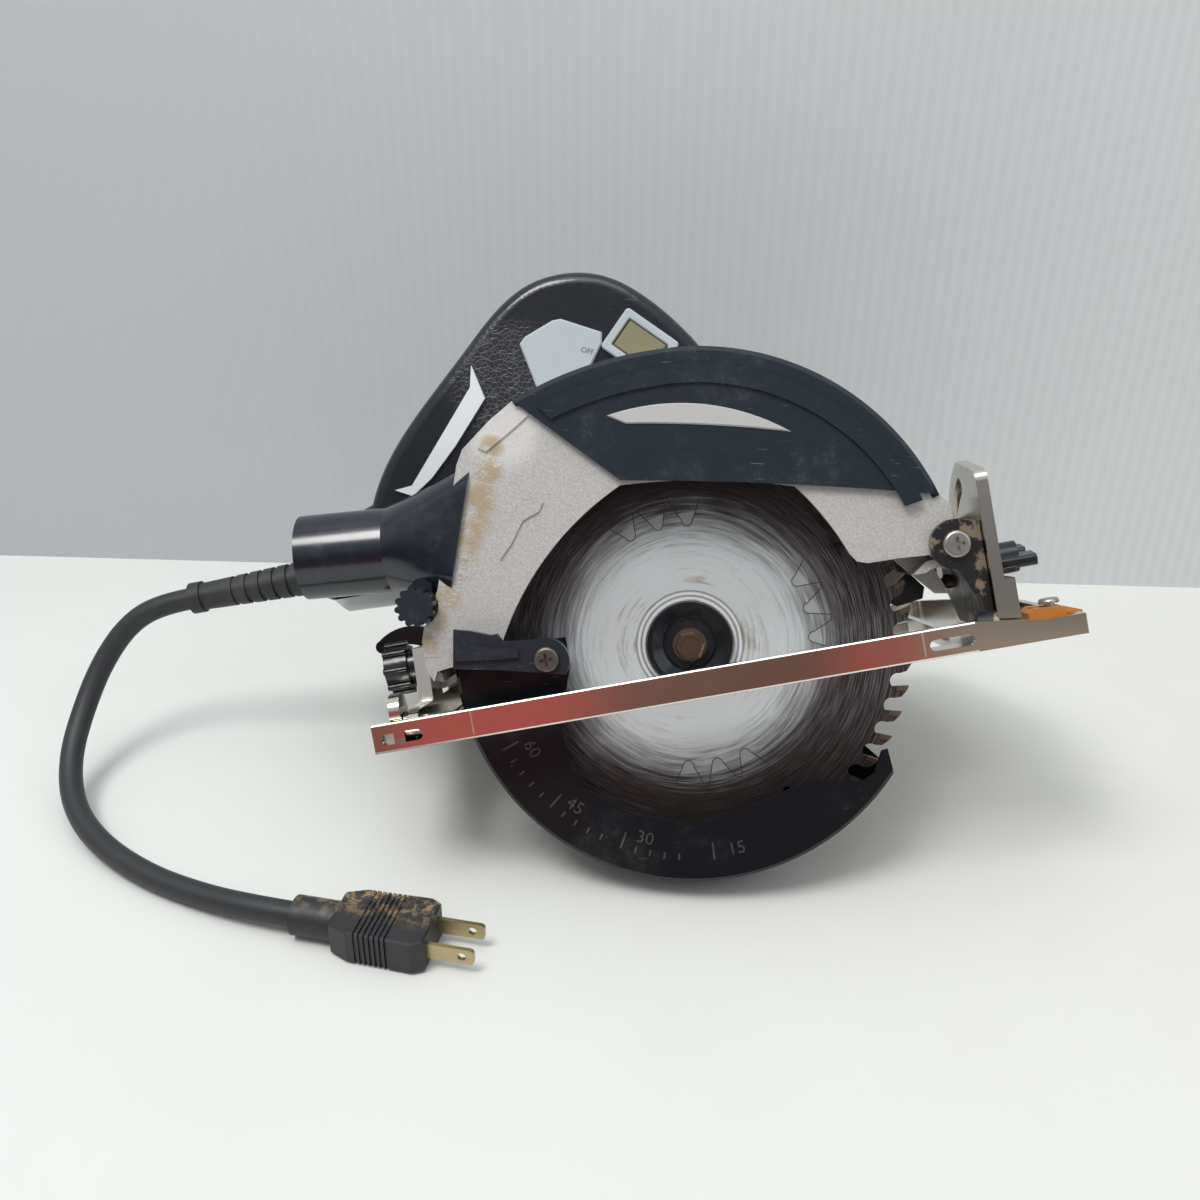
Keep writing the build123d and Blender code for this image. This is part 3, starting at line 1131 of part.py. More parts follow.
QUADRANT_TOP = 45.0
QUADRANT_OUT = QUADRANT_R + 8.5
SLOT_HALF = CLAMP_R + PLAY
SLOT_START = QUADRANT_CLAMP - BEVEL_SWING
with BuildPart() as bevel_quadrant:
    with BuildSketch(front(QUADRANT_X)):
        with BuildLine():
            Polyline((BASE_RIGHT + BASE_RIM_T + 4.5, BASE_TOP), (BASE_RIGHT + BASE_RIM_T + 4.5, QUADRANT_TOP - 4))
            RadiusArc((BASE_RIGHT + BASE_RIM_T + 4.5, QUADRANT_TOP - 4),
                      (BASE_RIGHT + BASE_RIM_T + 8.5, QUADRANT_TOP), 4)
            Line((BASE_RIGHT + BASE_RIM_T + 8.5, QUADRANT_TOP), bevel_point(QUADRANT_OUT, 22))
            ThreePointArc(bevel_point(QUADRANT_OUT, 22), bevel_point(QUADRANT_OUT, 50), bevel_point(QUADRANT_OUT, 78))
            Polyline(bevel_point(QUADRANT_OUT, 78), (40, BASE_TOP), (BASE_RIGHT + BASE_RIM_T + 4.5, BASE_TOP))
        make_face()
        with BuildLine():
            ThreePointArc(bevel_point(QUADRANT_R + SLOT_HALF, SLOT_START),
                          bevel_point(QUADRANT_R + SLOT_HALF, QUADRANT_CLAMP - BEVEL_SWING / 2),
                          bevel_point(QUADRANT_R + SLOT_HALF, QUADRANT_CLAMP))
            ThreePointArc(bevel_point(QUADRANT_R + SLOT_HALF, QUADRANT_CLAMP),
                          bevel_point(QUADRANT_R, QUADRANT_CLAMP + math.degrees(SLOT_HALF / QUADRANT_R)),
                          bevel_point(QUADRANT_R - SLOT_HALF, QUADRANT_CLAMP))
            ThreePointArc(bevel_point(QUADRANT_R - SLOT_HALF, QUADRANT_CLAMP),
                          bevel_point(QUADRANT_R - SLOT_HALF, QUADRANT_CLAMP - BEVEL_SWING / 2),
                          bevel_point(QUADRANT_R - SLOT_HALF, SLOT_START))
            ThreePointArc(bevel_point(QUADRANT_R - SLOT_HALF, SLOT_START),
                          bevel_point(QUADRANT_R, SLOT_START - math.degrees(SLOT_HALF / QUADRANT_R)),
                          bevel_point(QUADRANT_R + SLOT_HALF, SLOT_START))
        make_face(mode=Mode.SUBTRACT)
    extrude(amount=QUADRANT_T)
    with BuildSketch(front(QUADRANT_X + QUADRANT_T)):
        with BuildLine():
            Polyline((BASE_RIGHT + BASE_RIM_T + 4.5, BASE_TOP), (BASE_RIGHT + BASE_RIM_T + 4.5, 6),
                     (6, 6), (26, -9), (40, BASE_TOP), (BASE_RIGHT + BASE_RIM_T + 4.5, BASE_TOP))
        make_face()
    extrude(amount=3.6)
    with BuildSketch(front(QUADRANT_X)):
        with Locations((BEVEL_Y, BEVEL_Z)):
            Circle(PIN_R)
    extrude(amount=-(PLAY + 9))
saw["bevel_quadrant"] = bevel_quadrant

with BuildPart() as bevel_bolt:
    with BuildSketch(front(WEB_END - WEB_T)):
        with Locations((BEVEL_BOLT_Y, BEVEL_BOLT_Z)):
            RegularPolygon(5, 6, major_radius=False)
    extrude(amount=-3)
    with BuildSketch(front(WEB_END - WEB_T)):
        with Locations((BEVEL_BOLT_Y, BEVEL_BOLT_Z)):
            Circle(CLAMP_R)
    extrude(amount=QUADRANT_X + QUADRANT_T + 14 - WEB_END + WEB_T)
saw["bevel_bolt"] = bevel_bolt

KNOB_START = QUADRANT_X + QUADRANT_T + PLAY
with BuildPart() as bevel_knob:
    with BuildSketch(front(KNOB_START)):
        with Locations((BEVEL_BOLT_Y, BEVEL_BOLT_Z)):
            Circle(6.2)
            Circle(CLAMP_R + RUN_FIT, mode=Mode.SUBTRACT)
    extrude(amount=18.5)
    with BuildSketch(front(KNOB_START + 10)):
        with Locations((BEVEL_BOLT_Y, BEVEL_BOLT_Z)):
            with PolarLocations(7.0, 2, start_angle=10):
                RectangleRounded(9.0, 4.4, 1.5)
        with Locations((BEVEL_BOLT_Y, BEVEL_BOLT_Z)):
            Circle(CLAMP_R + RUN_FIT, mode=Mode.SUBTRACT)
    extrude(amount=13.5)
saw["bevel_knob"] = bevel_knob

# ---- Base -----------------------------------------------------------------------------------------
CORNER_R = 8.0
OPENING_REAR = -96.0
OPENING_FRONT = 91.0
OPENING_RIGHT = -21.0
OPENING_LEFT = 36.0
TAPER_X = 97.0            # the right rim tapers from here to the front
SLOT_Z = -13.9
GUIDE_SLOTS = ((-105.5, 15.0), (88.7, 15.5))
RIB_T = 2.4
RIB_H = 2.2
TOP_GUIDE_Y = -16.0
TOP_GUIDE_W = 13.0

with BuildPart() as base_plate:
    with BuildSketch(Plane.XY.offset(SOLE_Z)) as plan:
        with BuildLine():
            Polyline((BASE_REAR, BASE_RIGHT), (BASE_FRONT, BASE_RIGHT), (BASE_FRONT, 66), (BASE_FRONT - 26, BASE_LEFT),
                     (BASE_REAR, BASE_LEFT), (BASE_REAR, BASE_RIGHT))
        make_face()
        fillet(plan.vertices().filter_by(lambda corner: corner.Y > 0), radius=CORNER_R)
        with Locations(((OPENING_REAR + OPENING_FRONT) / 2, (OPENING_RIGHT + OPENING_LEFT) / 2)):
            RectangleRounded(OPENING_FRONT - OPENING_REAR, OPENING_LEFT - OPENING_RIGHT, 6, mode=Mode.SUBTRACT)
    extrude(amount=BASE_PLATE)
    outline = plan.faces()[0].outer_wire()
    with BuildSketch(Plane.XY.offset(SOLE_Z)):
        add(make_face(outline, mode=Mode.PRIVATE))
        offset(make_face(outline, mode=Mode.PRIVATE), amount=-BASE_RIM_T, mode=Mode.SUBTRACT)
    extrude(amount=BASE_LOW_RIM)
    with BuildSketch(side(BASE_RIGHT)):
        with BuildLine():
            Polyline((BASE_REAR, SOLE_Z), (BASE_REAR, SOLE_Z + BASE_RIM), (TAPER_X, SOLE_Z + BASE_RIM),
                     (BASE_FRONT, SOLE_Z + 5.1), (BASE_FRONT, SOLE_Z + 1.2), (TAPER_X, SOLE_Z), (BASE_REAR, SOLE_Z))
        make_face()
    extrude(amount=-BASE_RIM_T)
    with BuildSketch(Plane.XY.offset(BASE_TOP)):
        for x in (BASE_REAR + 5, OPENING_FRONT + 3.5, BASE_FRONT - 10):
            with Locations((x, 48)):
                Rectangle(RIB_T, 86)
        for y in (56, 100):
            with Locations((0, y)):
                Rectangle(180, RIB_T)
    extrude(amount=RIB_H)
    with BuildSketch(Plane.XY.offset(BASE_TOP)):
        with Locations((BASE_FRONT, TOP_GUIDE_Y)):
            Rectangle(12, TOP_GUIDE_W + 2 * PLAY)
    extrude(amount=BASE_RIM, mode=Mode.SUBTRACT)
    with BuildSketch(side(BASE_RIGHT - 1)):
        for x, length in GUIDE_SLOTS:
            with Locations((x, SLOT_Z + 2)):
                SlotOverall(length, 3.8)
    extrude(amount=-(BASE_RIM_T + 2), mode=Mode.SUBTRACT)
saw["base_plate"] = base_plate

REAR_LUG_X = -109.5
with BuildPart() as rear_bracket:
    with BuildSketch(front(REAR_LUG_X)):
        with BuildLine():
            Polyline((BEVEL_Y - 5, BASE_TOP), (BEVEL_Y - 5, BEVEL_Z + 2))
            ThreePointArc((BEVEL_Y - 5, BEVEL_Z + 2), (BEVEL_Y, BEVEL_Z + 12), (BEVEL_Y + 6, BEVEL_Z + 2))
            Polyline((BEVEL_Y + 6, BEVEL_Z + 2), (BEVEL_Y + 12, BASE_TOP), (BEVEL_Y - 5, BASE_TOP))
        make_face()
    extrude(amount=4.0)
    with BuildSketch(front(REAR_LUG_X)):
        with Locations((BEVEL_Y, BEVEL_Z)):
            Circle(PIN_R)
    extrude(amount=12.5)
saw["rear_bracket"] = rear_bracket

# ---- Depth guide ----------------------------------------------------------------------------------
GUIDE_Y = HANDLE_LEFT + 1.5 + PLAY
ARM_X = REAR_LUG_X + 4.0 + PLAY
CROSS_ARM_T = 5.4
GUIDE_TOP = BOLT_ANGLE * -1 + DEPTH_SWING


def guide_point(radius, degrees):
    """Point at a radius behind the depth pivot, at an angle that rises to the rear."""
    angle = math.radians(degrees)
    return (DEPTH_PIVOT_X - radius * math.cos(angle), DEPTH_PIVOT_Z + radius * math.sin(angle))


GUIDE_FOOT = -9.0
GUIDE_OUT = GUIDE_R + GUIDE_W / 2
GUIDE_IN = GUIDE_R - GUIDE_W / 2
GUIDE_MID = (GUIDE_FOOT + GUIDE_TOP) / 2
GUIDE_SLOT_HALF = CLAMP_R + PLAY
with BuildPart() as depth_guide:
    with BuildSketch(side(GUIDE_Y)):
        with BuildLine():
            ThreePointArc(guide_point(GUIDE_OUT, GUIDE_FOOT), guide_point(GUIDE_OUT, GUIDE_MID),
                          guide_point(GUIDE_OUT, GUIDE_TOP))
            ThreePointArc(guide_point(GUIDE_OUT, GUIDE_TOP), guide_point(GUIDE_R, GUIDE_TOP + 2.2),
                          guide_point(GUIDE_IN, GUIDE_TOP))
            ThreePointArc(guide_point(GUIDE_IN, GUIDE_TOP), guide_point(GUIDE_IN, GUIDE_MID),
                          guide_point(GUIDE_IN, GUIDE_FOOT))
            Line(guide_point(GUIDE_IN, GUIDE_FOOT), guide_point(GUIDE_OUT, GUIDE_FOOT))
        make_face()
        with BuildLine():
            ThreePointArc(guide_point(GUIDE_R + GUIDE_SLOT_HALF, -BOLT_ANGLE),
                          guide_point(GUIDE_R + GUIDE_SLOT_HALF, GUIDE_MID + 2),
                          guide_point(GUIDE_R + GUIDE_SLOT_HALF, GUIDE_TOP))
            ThreePointArc(guide_point(GUIDE_R + GUIDE_SLOT_HALF, GUIDE_TOP),
                          guide_point(GUIDE_R, GUIDE_TOP + math.degrees(GUIDE_SLOT_HALF / GUIDE_R)),
                          guide_point(GUIDE_R - GUIDE_SLOT_HALF, GUIDE_TOP))
            ThreePointArc(guide_point(GUIDE_R - GUIDE_SLOT_HALF, GUIDE_TOP),
                          guide_point(GUIDE_R - GUIDE_SLOT_HALF, GUIDE_MID + 2),
                          guide_point(GUIDE_R - GUIDE_SLOT_HALF, -BOLT_ANGLE))
            ThreePointArc(guide_point(GUIDE_R - GUIDE_SLOT_HALF, -BOLT_ANGLE),
                          guide_point(GUIDE_R, -BOLT_ANGLE - math.degrees(GUIDE_SLOT_HALF / GUIDE_R)),
                          guide_point(GUIDE_R + GUIDE_SLOT_HALF, -BOLT_ANGLE))
        make_face(mode=Mode.SUBTRACT)
    extrude(amount=-GUIDE_T)
    with BuildSketch(front(ARM_X)):
        with Locations((BEVEL_Y, BEVEL_Z)):
            Circle(BARREL_R)
        Polygon((BEVEL_Y, BEVEL_Z - BARREL_R + 0.2), (BEVEL_Y, BEVEL_Z + BARREL_R), (0, BEVEL_Z + BARREL_R), (4, 16),
                (17, 16), (19.2, BEVEL_Z + BARREL_R), (GUIDE_Y + GUIDE_T, BEVEL_Z + BARREL_R),
                (GUIDE_Y + GUIDE_T, BEVEL_Z - BARREL_R + 0.2), align=None)
    extrude(amount=CROSS_ARM_T)
    with BuildSketch(front(ARM_X - 1)):
        with Locations((BEVEL_Y, BEVEL_Z)):
            Circle(PIN_R + RUN_FIT)
        with Locations((12, 9)):
            Circle(CLAMP_R)
    extrude(amount=CROSS_ARM_T + 2, mode=Mode.SUBTRACT)
saw["depth_guide"] = depth_guide

with BuildPart() as depth_bolt:
    with BuildSketch(side(HANDLE_LEFT - 10)):
        with Locations((BOLT_X, BOLT_Z)):
            Circle(CLAMP_R)
    extrude(amount=-(GUIDE_Y + GUIDE_T + 9 - HANDLE_LEFT + 10))
saw["depth_bolt"] = depth_bolt

LEVER_Y = GUIDE_Y + GUIDE_T + PLAY
with BuildPart() as depth_lever:
    with BuildSketch(side(LEVER_Y)):
        with Locations((BOLT_X, BOLT_Z)):
            Circle(8.0)
            Circle(CLAMP_R + RUN_FIT, mode=Mode.SUBTRACT)
    extrude(amount=-7)
    with BuildSketch(side(LEVER_Y + 2)):
        with BuildLine():
            ThreePointArc((BOLT_X - 4, BOLT_Z + 7), (BOLT_X - 18, BOLT_Z + 17), (BOLT_X - 35, BOLT_Z + 13))
            ThreePointArc((BOLT_X - 35, BOLT_Z + 13), (BOLT_X - 37, BOLT_Z + 10), (BOLT_X - 34, BOLT_Z + 7.5))
            ThreePointArc((BOLT_X - 34, BOLT_Z + 7.5), (BOLT_X - 20, BOLT_Z + 9), (BOLT_X - 7, BOLT_Z - 4))
            Line((BOLT_X - 7, BOLT_Z - 4), (BOLT_X - 4, BOLT_Z + 7))
        make_face()
        with Locations((BOLT_X, BOLT_Z)):
            Circle(CLAMP_R + RUN_FIT, mode=Mode.SUBTRACT)
    extrude(amount=-5)
saw["depth_lever"] = depth_lever

with BuildPart() as rear_lock_knob:
    with BuildSketch(front(ARM_X - PLAY)):
        with Locations((12, 9)):
            Circle(7.0)
    extrude(amount=-3)
    with BuildSketch(front(ARM_X - PLAY - 3)):
        with Locations((12, 9)):
            Circle(8.6)
            with PolarLocations(9.0, 8):
                Circle(1.3)
    extrude(amount=-9)
    with BuildSketch(front(ARM_X - PLAY)):
        with Locations((12, 9)):
            Circle(CLAMP_R - RUN_FIT)
    extrude(amount=CROSS_ARM_T)
saw["rear_lock_knob"] = rear_lock_knob

# ---- Top guide ------------------------------------------------------------------------------------
with BuildPart() as top_guide:
    with BuildSketch(side(TOP_GUIDE_Y - TOP_GUIDE_W / 2)):
        Polygon((118.3, BASE_TOP + PLAY), (118.3, -8.0), (121, -6.6), (131, -7.4), (136.6, -9.6), (136.6, BASE_TOP + PLAY),
                align=None)
    extrude(amount=-TOP_GUIDE_W)
    with BuildSketch(Plane.XY.offset(BASE_TOP)):
        with Locations((127, TOP_GUIDE_Y)):
            SlotOverall(14.0, 5.0)
    extrude(amount=10, mode=Mode.SUBTRACT)
saw["top_guide"] = top_guide

with BuildPart() as top_guide_screw:
    with BuildSketch(Plane.XY.offset(BASE_TOP)):
        with Locations((127.5, TOP_GUIDE_Y)):
            Circle(1.9)
    extrude(amount=7.6)
    with BuildSketch(Plane.XY.offset(BASE_TOP + 7.6 + PLAY)):
        with Locations((127.5, TOP_GUIDE_Y)):
            Circle(3.6)
    extrude(amount=1.8)
    with BuildSketch(Plane.XY.offset(BASE_TOP + 7.6)):
        with Locations((127.5, TOP_GUIDE_Y)):
            Circle(1.9)
    extrude(amount=PLAY)
    fillet(top_guide_screw.faces().sort_by(Axis.Z)[-1].edges(), radius=1.2)
saw["top_guide_screw"] = top_guide_screw

# ---- Cord guard -----------------------------------------------------------------------------------
cord_axis = Plane(origin=(TAIL_X + 9.5, CORD_Y, CORD_EXIT_Z), x_dir=(0, 1, 0), z_dir=(-1, 0, 0))
GUARD_LENGTH = TAIL_X + 9.5 - CORD_EXIT_X
with BuildPart() as cord_guard:
    with BuildSketch(cord_axis):
        Circle(8.0)
    extrude(amount=12)
    with BuildSketch(cord_axis.offset(12)):
        Circle(7.4)
    with BuildSketch(cord_axis.offset(GUARD_LENGTH - 5)):
        Circle(5.7)
    loft()
    with BuildSketch(cord_axis.offset(GUARD_LENGTH - 5)):
        Circle(6.6)
    extrude(amount=5)
    for along in range(5):
        with BuildSketch(cord_axis.offset(18 + 6 * along)):
            Circle(9)
            Circle(6.0 - 0.15 * along, mode=Mode.SUBTRACT)
        extrude(amount=2, mode=Mode.SUBTRACT)
saw["cord_guard"] = cord_guard

# ---- Lying down -----------------------------------------------------------------------------------
def contacts(up):
    """Three points that touch the ground when the ground's normal is up, in the saw's own axes."""
    across = Vector(up.X, 0, up.Z).normalized()
    rim = Vector(0, GUARD_BACK, 0) - across * GUARD_R
    away = Vector(up.X, up.Y, 0).normalized()
    corner = Vector(BASE_REAR + CORNER_R, BASE_LEFT - CORNER_R, SOLE_Z) - away * CORNER_R
    cap = Vector(MOTOR_X, COVER_END - END_ROUND, MOTOR_Z) - across * (MOTOR_R - END_ROUND) - up * END_ROUND
    return rim, corner, cap


up = Vector(0.19, -0.4, 0.9)
for _ in range(12):
    rim, corner, cap = contacts(up)
    up = (cap - rim).cross(corner - rim).normalized()
    if up.Z < 0:
        up = up * -1
ahead = (Vector(1, 0, 0) - up * up.X).normalized()
ground = Plane(origin=rim, x_dir=(ahead.X, ahead.Y, ahead.Z), z_dir=(up.X, up.Y, up.Z))
laid = ground.location.inverse()
for piece in saw.values():
    piece.part.move(laid)
box = Compound(children=[Part(piece.part.wrapped) for piece in saw.values()]).bounding_box()

# ---- Cord and plug, as they lie -------------------------------------------------------------------
middle = Vector(-(box.min.X + box.max.X) / 2, -(box.min.Y + box.max.Y) / 2, -box.min.Z)
for piece in saw.values():
    piece.part.move(Location(middle))
placing = Location(middle) * laid
exit_point = Vector(*(placing * Location((CORD_EXIT_X, CORD_Y, CORD_EXIT_Z))).position)
exit_ahead = (exit_point - Vector(*(placing * Location((0, CORD_Y, CORD_EXIT_Z))).position)).normalized()

PLUG_TURN = -12.9
PLUG_Z = 7.4
PLUG_START = Vector(-109.0, -140.1, PLUG_Z)   # clear of the base on its way down
plug_ahead = Vector(math.cos(math.radians(PLUG_TURN)), math.sin(math.radians(PLUG_TURN)), 0)
CORD_ROUTE = [exit_point, exit_point + exit_ahead * 14, (-199.5, -19.4, 60.6), (-210.8, -26.0, 46.0),
              (-217.2, -38.5, 30.5), (-219.0, -56.0, 17.5), (-212.3, -76.0, 9.3), (-196.6, -96.3, 6.2),
              (-172.0, -115.0, 4.9), (-147.4, -127.4, 5.4), PLUG_START - plug_ahead * 16, PLUG_START]


def bend_radius(before, corner, after):
    """Arc that takes up 0.45 of the shorter of a corner's two runs."""
    first, last = Vector(corner) - Vector(before), Vector(after) - Vector(corner)
    turn = math.radians(first.get_angle(last))
    return 0.45 * min(first.length, last.length) / math.tan(turn / 2)


bends = [bend_radius(*CORD_ROUTE[at - 1:at + 2]) for at in range(1, len(CORD_ROUTE) - 1)]
print("cord radii", [round(bend) for bend in bends])
with BuildPart() as power_cord:
    with BuildLine() as route:
        FilletPolyline(*CORD_ROUTE, radius=bends)
    with BuildSketch(Plane(origin=exit_point, z_dir=exit_ahead)):
        Circle(CORD_D / 2)
    sweep(path=route.wires()[0])
cord_length = route.wires()[0].length
print("cord length", cord_length, "section by length", math.pi * CORD_D ** 2 / 4 * cord_length)
print("cord volume", power_cord.part.volume)
lead["power_cord"] = power_cord

COLLAR_R = 7.2
PLUG_HALF_H = 6.8
PLUG_HALF_W = 12.2
COLLAR_END = 16.0
RIBS_START = 26.5
RIB_PITCH = 1.9
PLUG_END = 51.5
plug_plane = Plane(origin=PLUG_START, x_dir=(-plug_ahead.Y, plug_ahead.X, 0), z_dir=plug_ahead)
plug_top = Plane(origin=PLUG_START, x_dir=plug_ahead, z_dir=(0, 0, 1))
with BuildPart() as plug_body:
    with BuildSketch(plug_top.offset(-PLUG_HALF_H)) as plug_plan:
        with BuildLine():
            Polyline((COLLAR_END, -8.5), (RIBS_START - 3, -PLUG_HALF_W + 0.6), (PLUG_END - 4, -PLUG_HALF_W),
                     (PLUG_END, -PLUG_HALF_W + 2), (PLUG_END, PLUG_HALF_W - 2), (PLUG_END - 4, PLUG_HALF_W),
                     (RIBS_START - 3, PLUG_HALF_W - 0.6), (COLLAR_END, 8.5), (COLLAR_END, -8.5))
        make_face()
        fillet(plug_plan.vertices(), radius=1.2)
    extrude(amount=2 * PLUG_HALF_H)
    chamfer(plug_body.faces().sort_by(Axis.Z)[-1].edges() + plug_body.faces().sort_by(Axis.Z)[0].edges(), length=0.7)
    with BuildSketch(plug_plane):
        Circle(COLLAR_R)
    extrude(amount=COLLAR_END + 3)
    for rib in range(7):
        with BuildSketch(plug_plane.offset(RIBS_START + rib * RIB_PITCH)):
            Rectangle(40, 20)
            RectangleRounded(2 * PLUG_HALF_W - 2.2, 2 * PLUG_HALF_H - 1.8, 1, mode=Mode.SUBTRACT)
        extrude(amount=RIB_PITCH * 0.45, mode=Mode.SUBTRACT)
lead["plug_body"] = plug_body

with BuildPart() as plug_pins:
    for pin_side in (-1, 1):
        with BuildSketch(Plane(origin=PLUG_START + plug_ahead * PLUG_END, x_dir=plug_ahead,
                               z_dir=(plug_ahead.Y, -plug_ahead.X, 0)).offset(pin_side * PIN_SPACING / 2 - PIN_T / 2)) as blank:
            with Locations((PIN_L / 2, 0)):
                Rectangle(PIN_L, PIN_W)
            fillet(blank.vertices().group_by(Axis.X)[-1], radius=1.6)
            with Locations((PIN_L - 4.5, 0)):
                Circle(1.6, mode=Mode.SUBTRACT)
        extrude(amount=PIN_T)
lead["plug_pins"] = plug_pins

os.makedirs("parts", exist_ok=True)
for name, piece in {**saw, **lead}.items():
    piece.part.label = name
    export_step(piece.part, f"parts/{name}.step")
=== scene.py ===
"""Dressed scene of a corded circular saw that lies on its guard and base.

The CAD nodes keep their shapes and places. This script gives them finishes, adds the cord, the
depth scale and the small marks, and sets the camera, the light and the surroundings.
"""

import json
import logging
import math
from dataclasses import dataclass
from enum import Enum

import bmesh
import bpy
from mathutils import Matrix, Vector

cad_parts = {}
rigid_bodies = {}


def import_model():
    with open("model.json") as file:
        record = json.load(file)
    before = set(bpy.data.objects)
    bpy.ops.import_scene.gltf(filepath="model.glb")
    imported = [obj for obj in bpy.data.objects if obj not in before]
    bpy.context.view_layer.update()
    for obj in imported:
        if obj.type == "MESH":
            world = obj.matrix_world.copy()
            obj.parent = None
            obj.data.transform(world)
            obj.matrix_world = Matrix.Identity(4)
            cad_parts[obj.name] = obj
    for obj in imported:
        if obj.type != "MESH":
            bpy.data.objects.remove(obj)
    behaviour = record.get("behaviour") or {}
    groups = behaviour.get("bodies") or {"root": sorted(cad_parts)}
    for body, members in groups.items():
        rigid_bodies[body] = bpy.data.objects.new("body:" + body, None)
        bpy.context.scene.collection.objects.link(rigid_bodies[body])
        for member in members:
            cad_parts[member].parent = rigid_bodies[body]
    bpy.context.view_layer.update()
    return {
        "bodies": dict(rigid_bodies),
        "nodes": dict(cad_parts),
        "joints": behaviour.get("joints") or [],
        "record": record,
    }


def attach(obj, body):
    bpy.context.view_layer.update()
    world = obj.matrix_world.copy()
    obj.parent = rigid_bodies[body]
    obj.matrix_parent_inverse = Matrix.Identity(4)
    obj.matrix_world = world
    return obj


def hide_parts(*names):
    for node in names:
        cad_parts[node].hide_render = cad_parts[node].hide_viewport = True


LOG = logging.getLogger("saw")
MM = 0.001

Pair = tuple[float, float]
Triple = tuple[float, float, float]
Colour = Triple
Socket = bpy.types.NodeSocket
Value = Socket | float
Paint = Socket | Colour

BLACK: Colour = (0.008, 0.010, 0.014)

# Places in the row frame, in metres
CAMERA_PLACE = Vector((-0.0075, -0.4719, 0.3040))
CAMERA_AHEAD = Vector((0.0160, 0.8899, -0.4560))
CAMERA_UP = Vector((-0.0020, 0.4561, 0.8900))
WALL_LEFT = Vector((-0.352, 0.178, 0.0))
WALL_RIGHT = Vector((0.347, 0.138, 0.0))
LAMP_AIM = Vector((0.0, 0.0, 0.08))

# Sizes of the saw in its own axes, in millimetres
GUARD_FRONT = -13.0
CASE_FRONT = -20.0
HANDLE_RIGHT = 27.0
CORD_D = 9.2


class Layer(Enum):
    """Which rays see a staged surface."""

    ALL = "all"
    MIRRORED = "mirrored"


@dataclass(frozen=True)
class SawAxes:
    """The saw's own axes within the row frame: X ahead, Y to the motor, Z away from the sole."""

    origin: Vector
    ahead: Vector
    motor: Vector
    up: Vector

    @classmethod
    def read(cls, joints: list[dict]) -> "SawAxes":
        """Finds the axes from two of the frame's joints.

        Args:
            joints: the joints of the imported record.

        Returns:
            The saw's axes.
        """
        named = {joint["name"]: joint for joint in joints}
        motor = Vector(named["blade_spin"]["axis"]).normalized()
        ahead = -Vector(named["bevel_tilt"]["axis"]).normalized()
        return cls(Vector(named["blade_spin"]["pos_m"]), ahead, motor, ahead.cross(motor).normalized())

    def matrix(self) -> Matrix:
        """Returns the matrix that takes millimetres in the saw's axes to the row frame."""
        turn = Matrix((self.ahead, self.motor, self.up)).transposed().to_4x4()
        return Matrix.Translation(self.origin) @ turn @ Matrix.Scale(MM, 4)

    def point(self, x: float, y: float, z: float) -> Vector:
        """Returns a point of the saw, given in millimetres, in the row frame."""
        return self.matrix() @ Vector((x, y, z))


# ---- Shader groups ----------------------------------------------------------------------------------


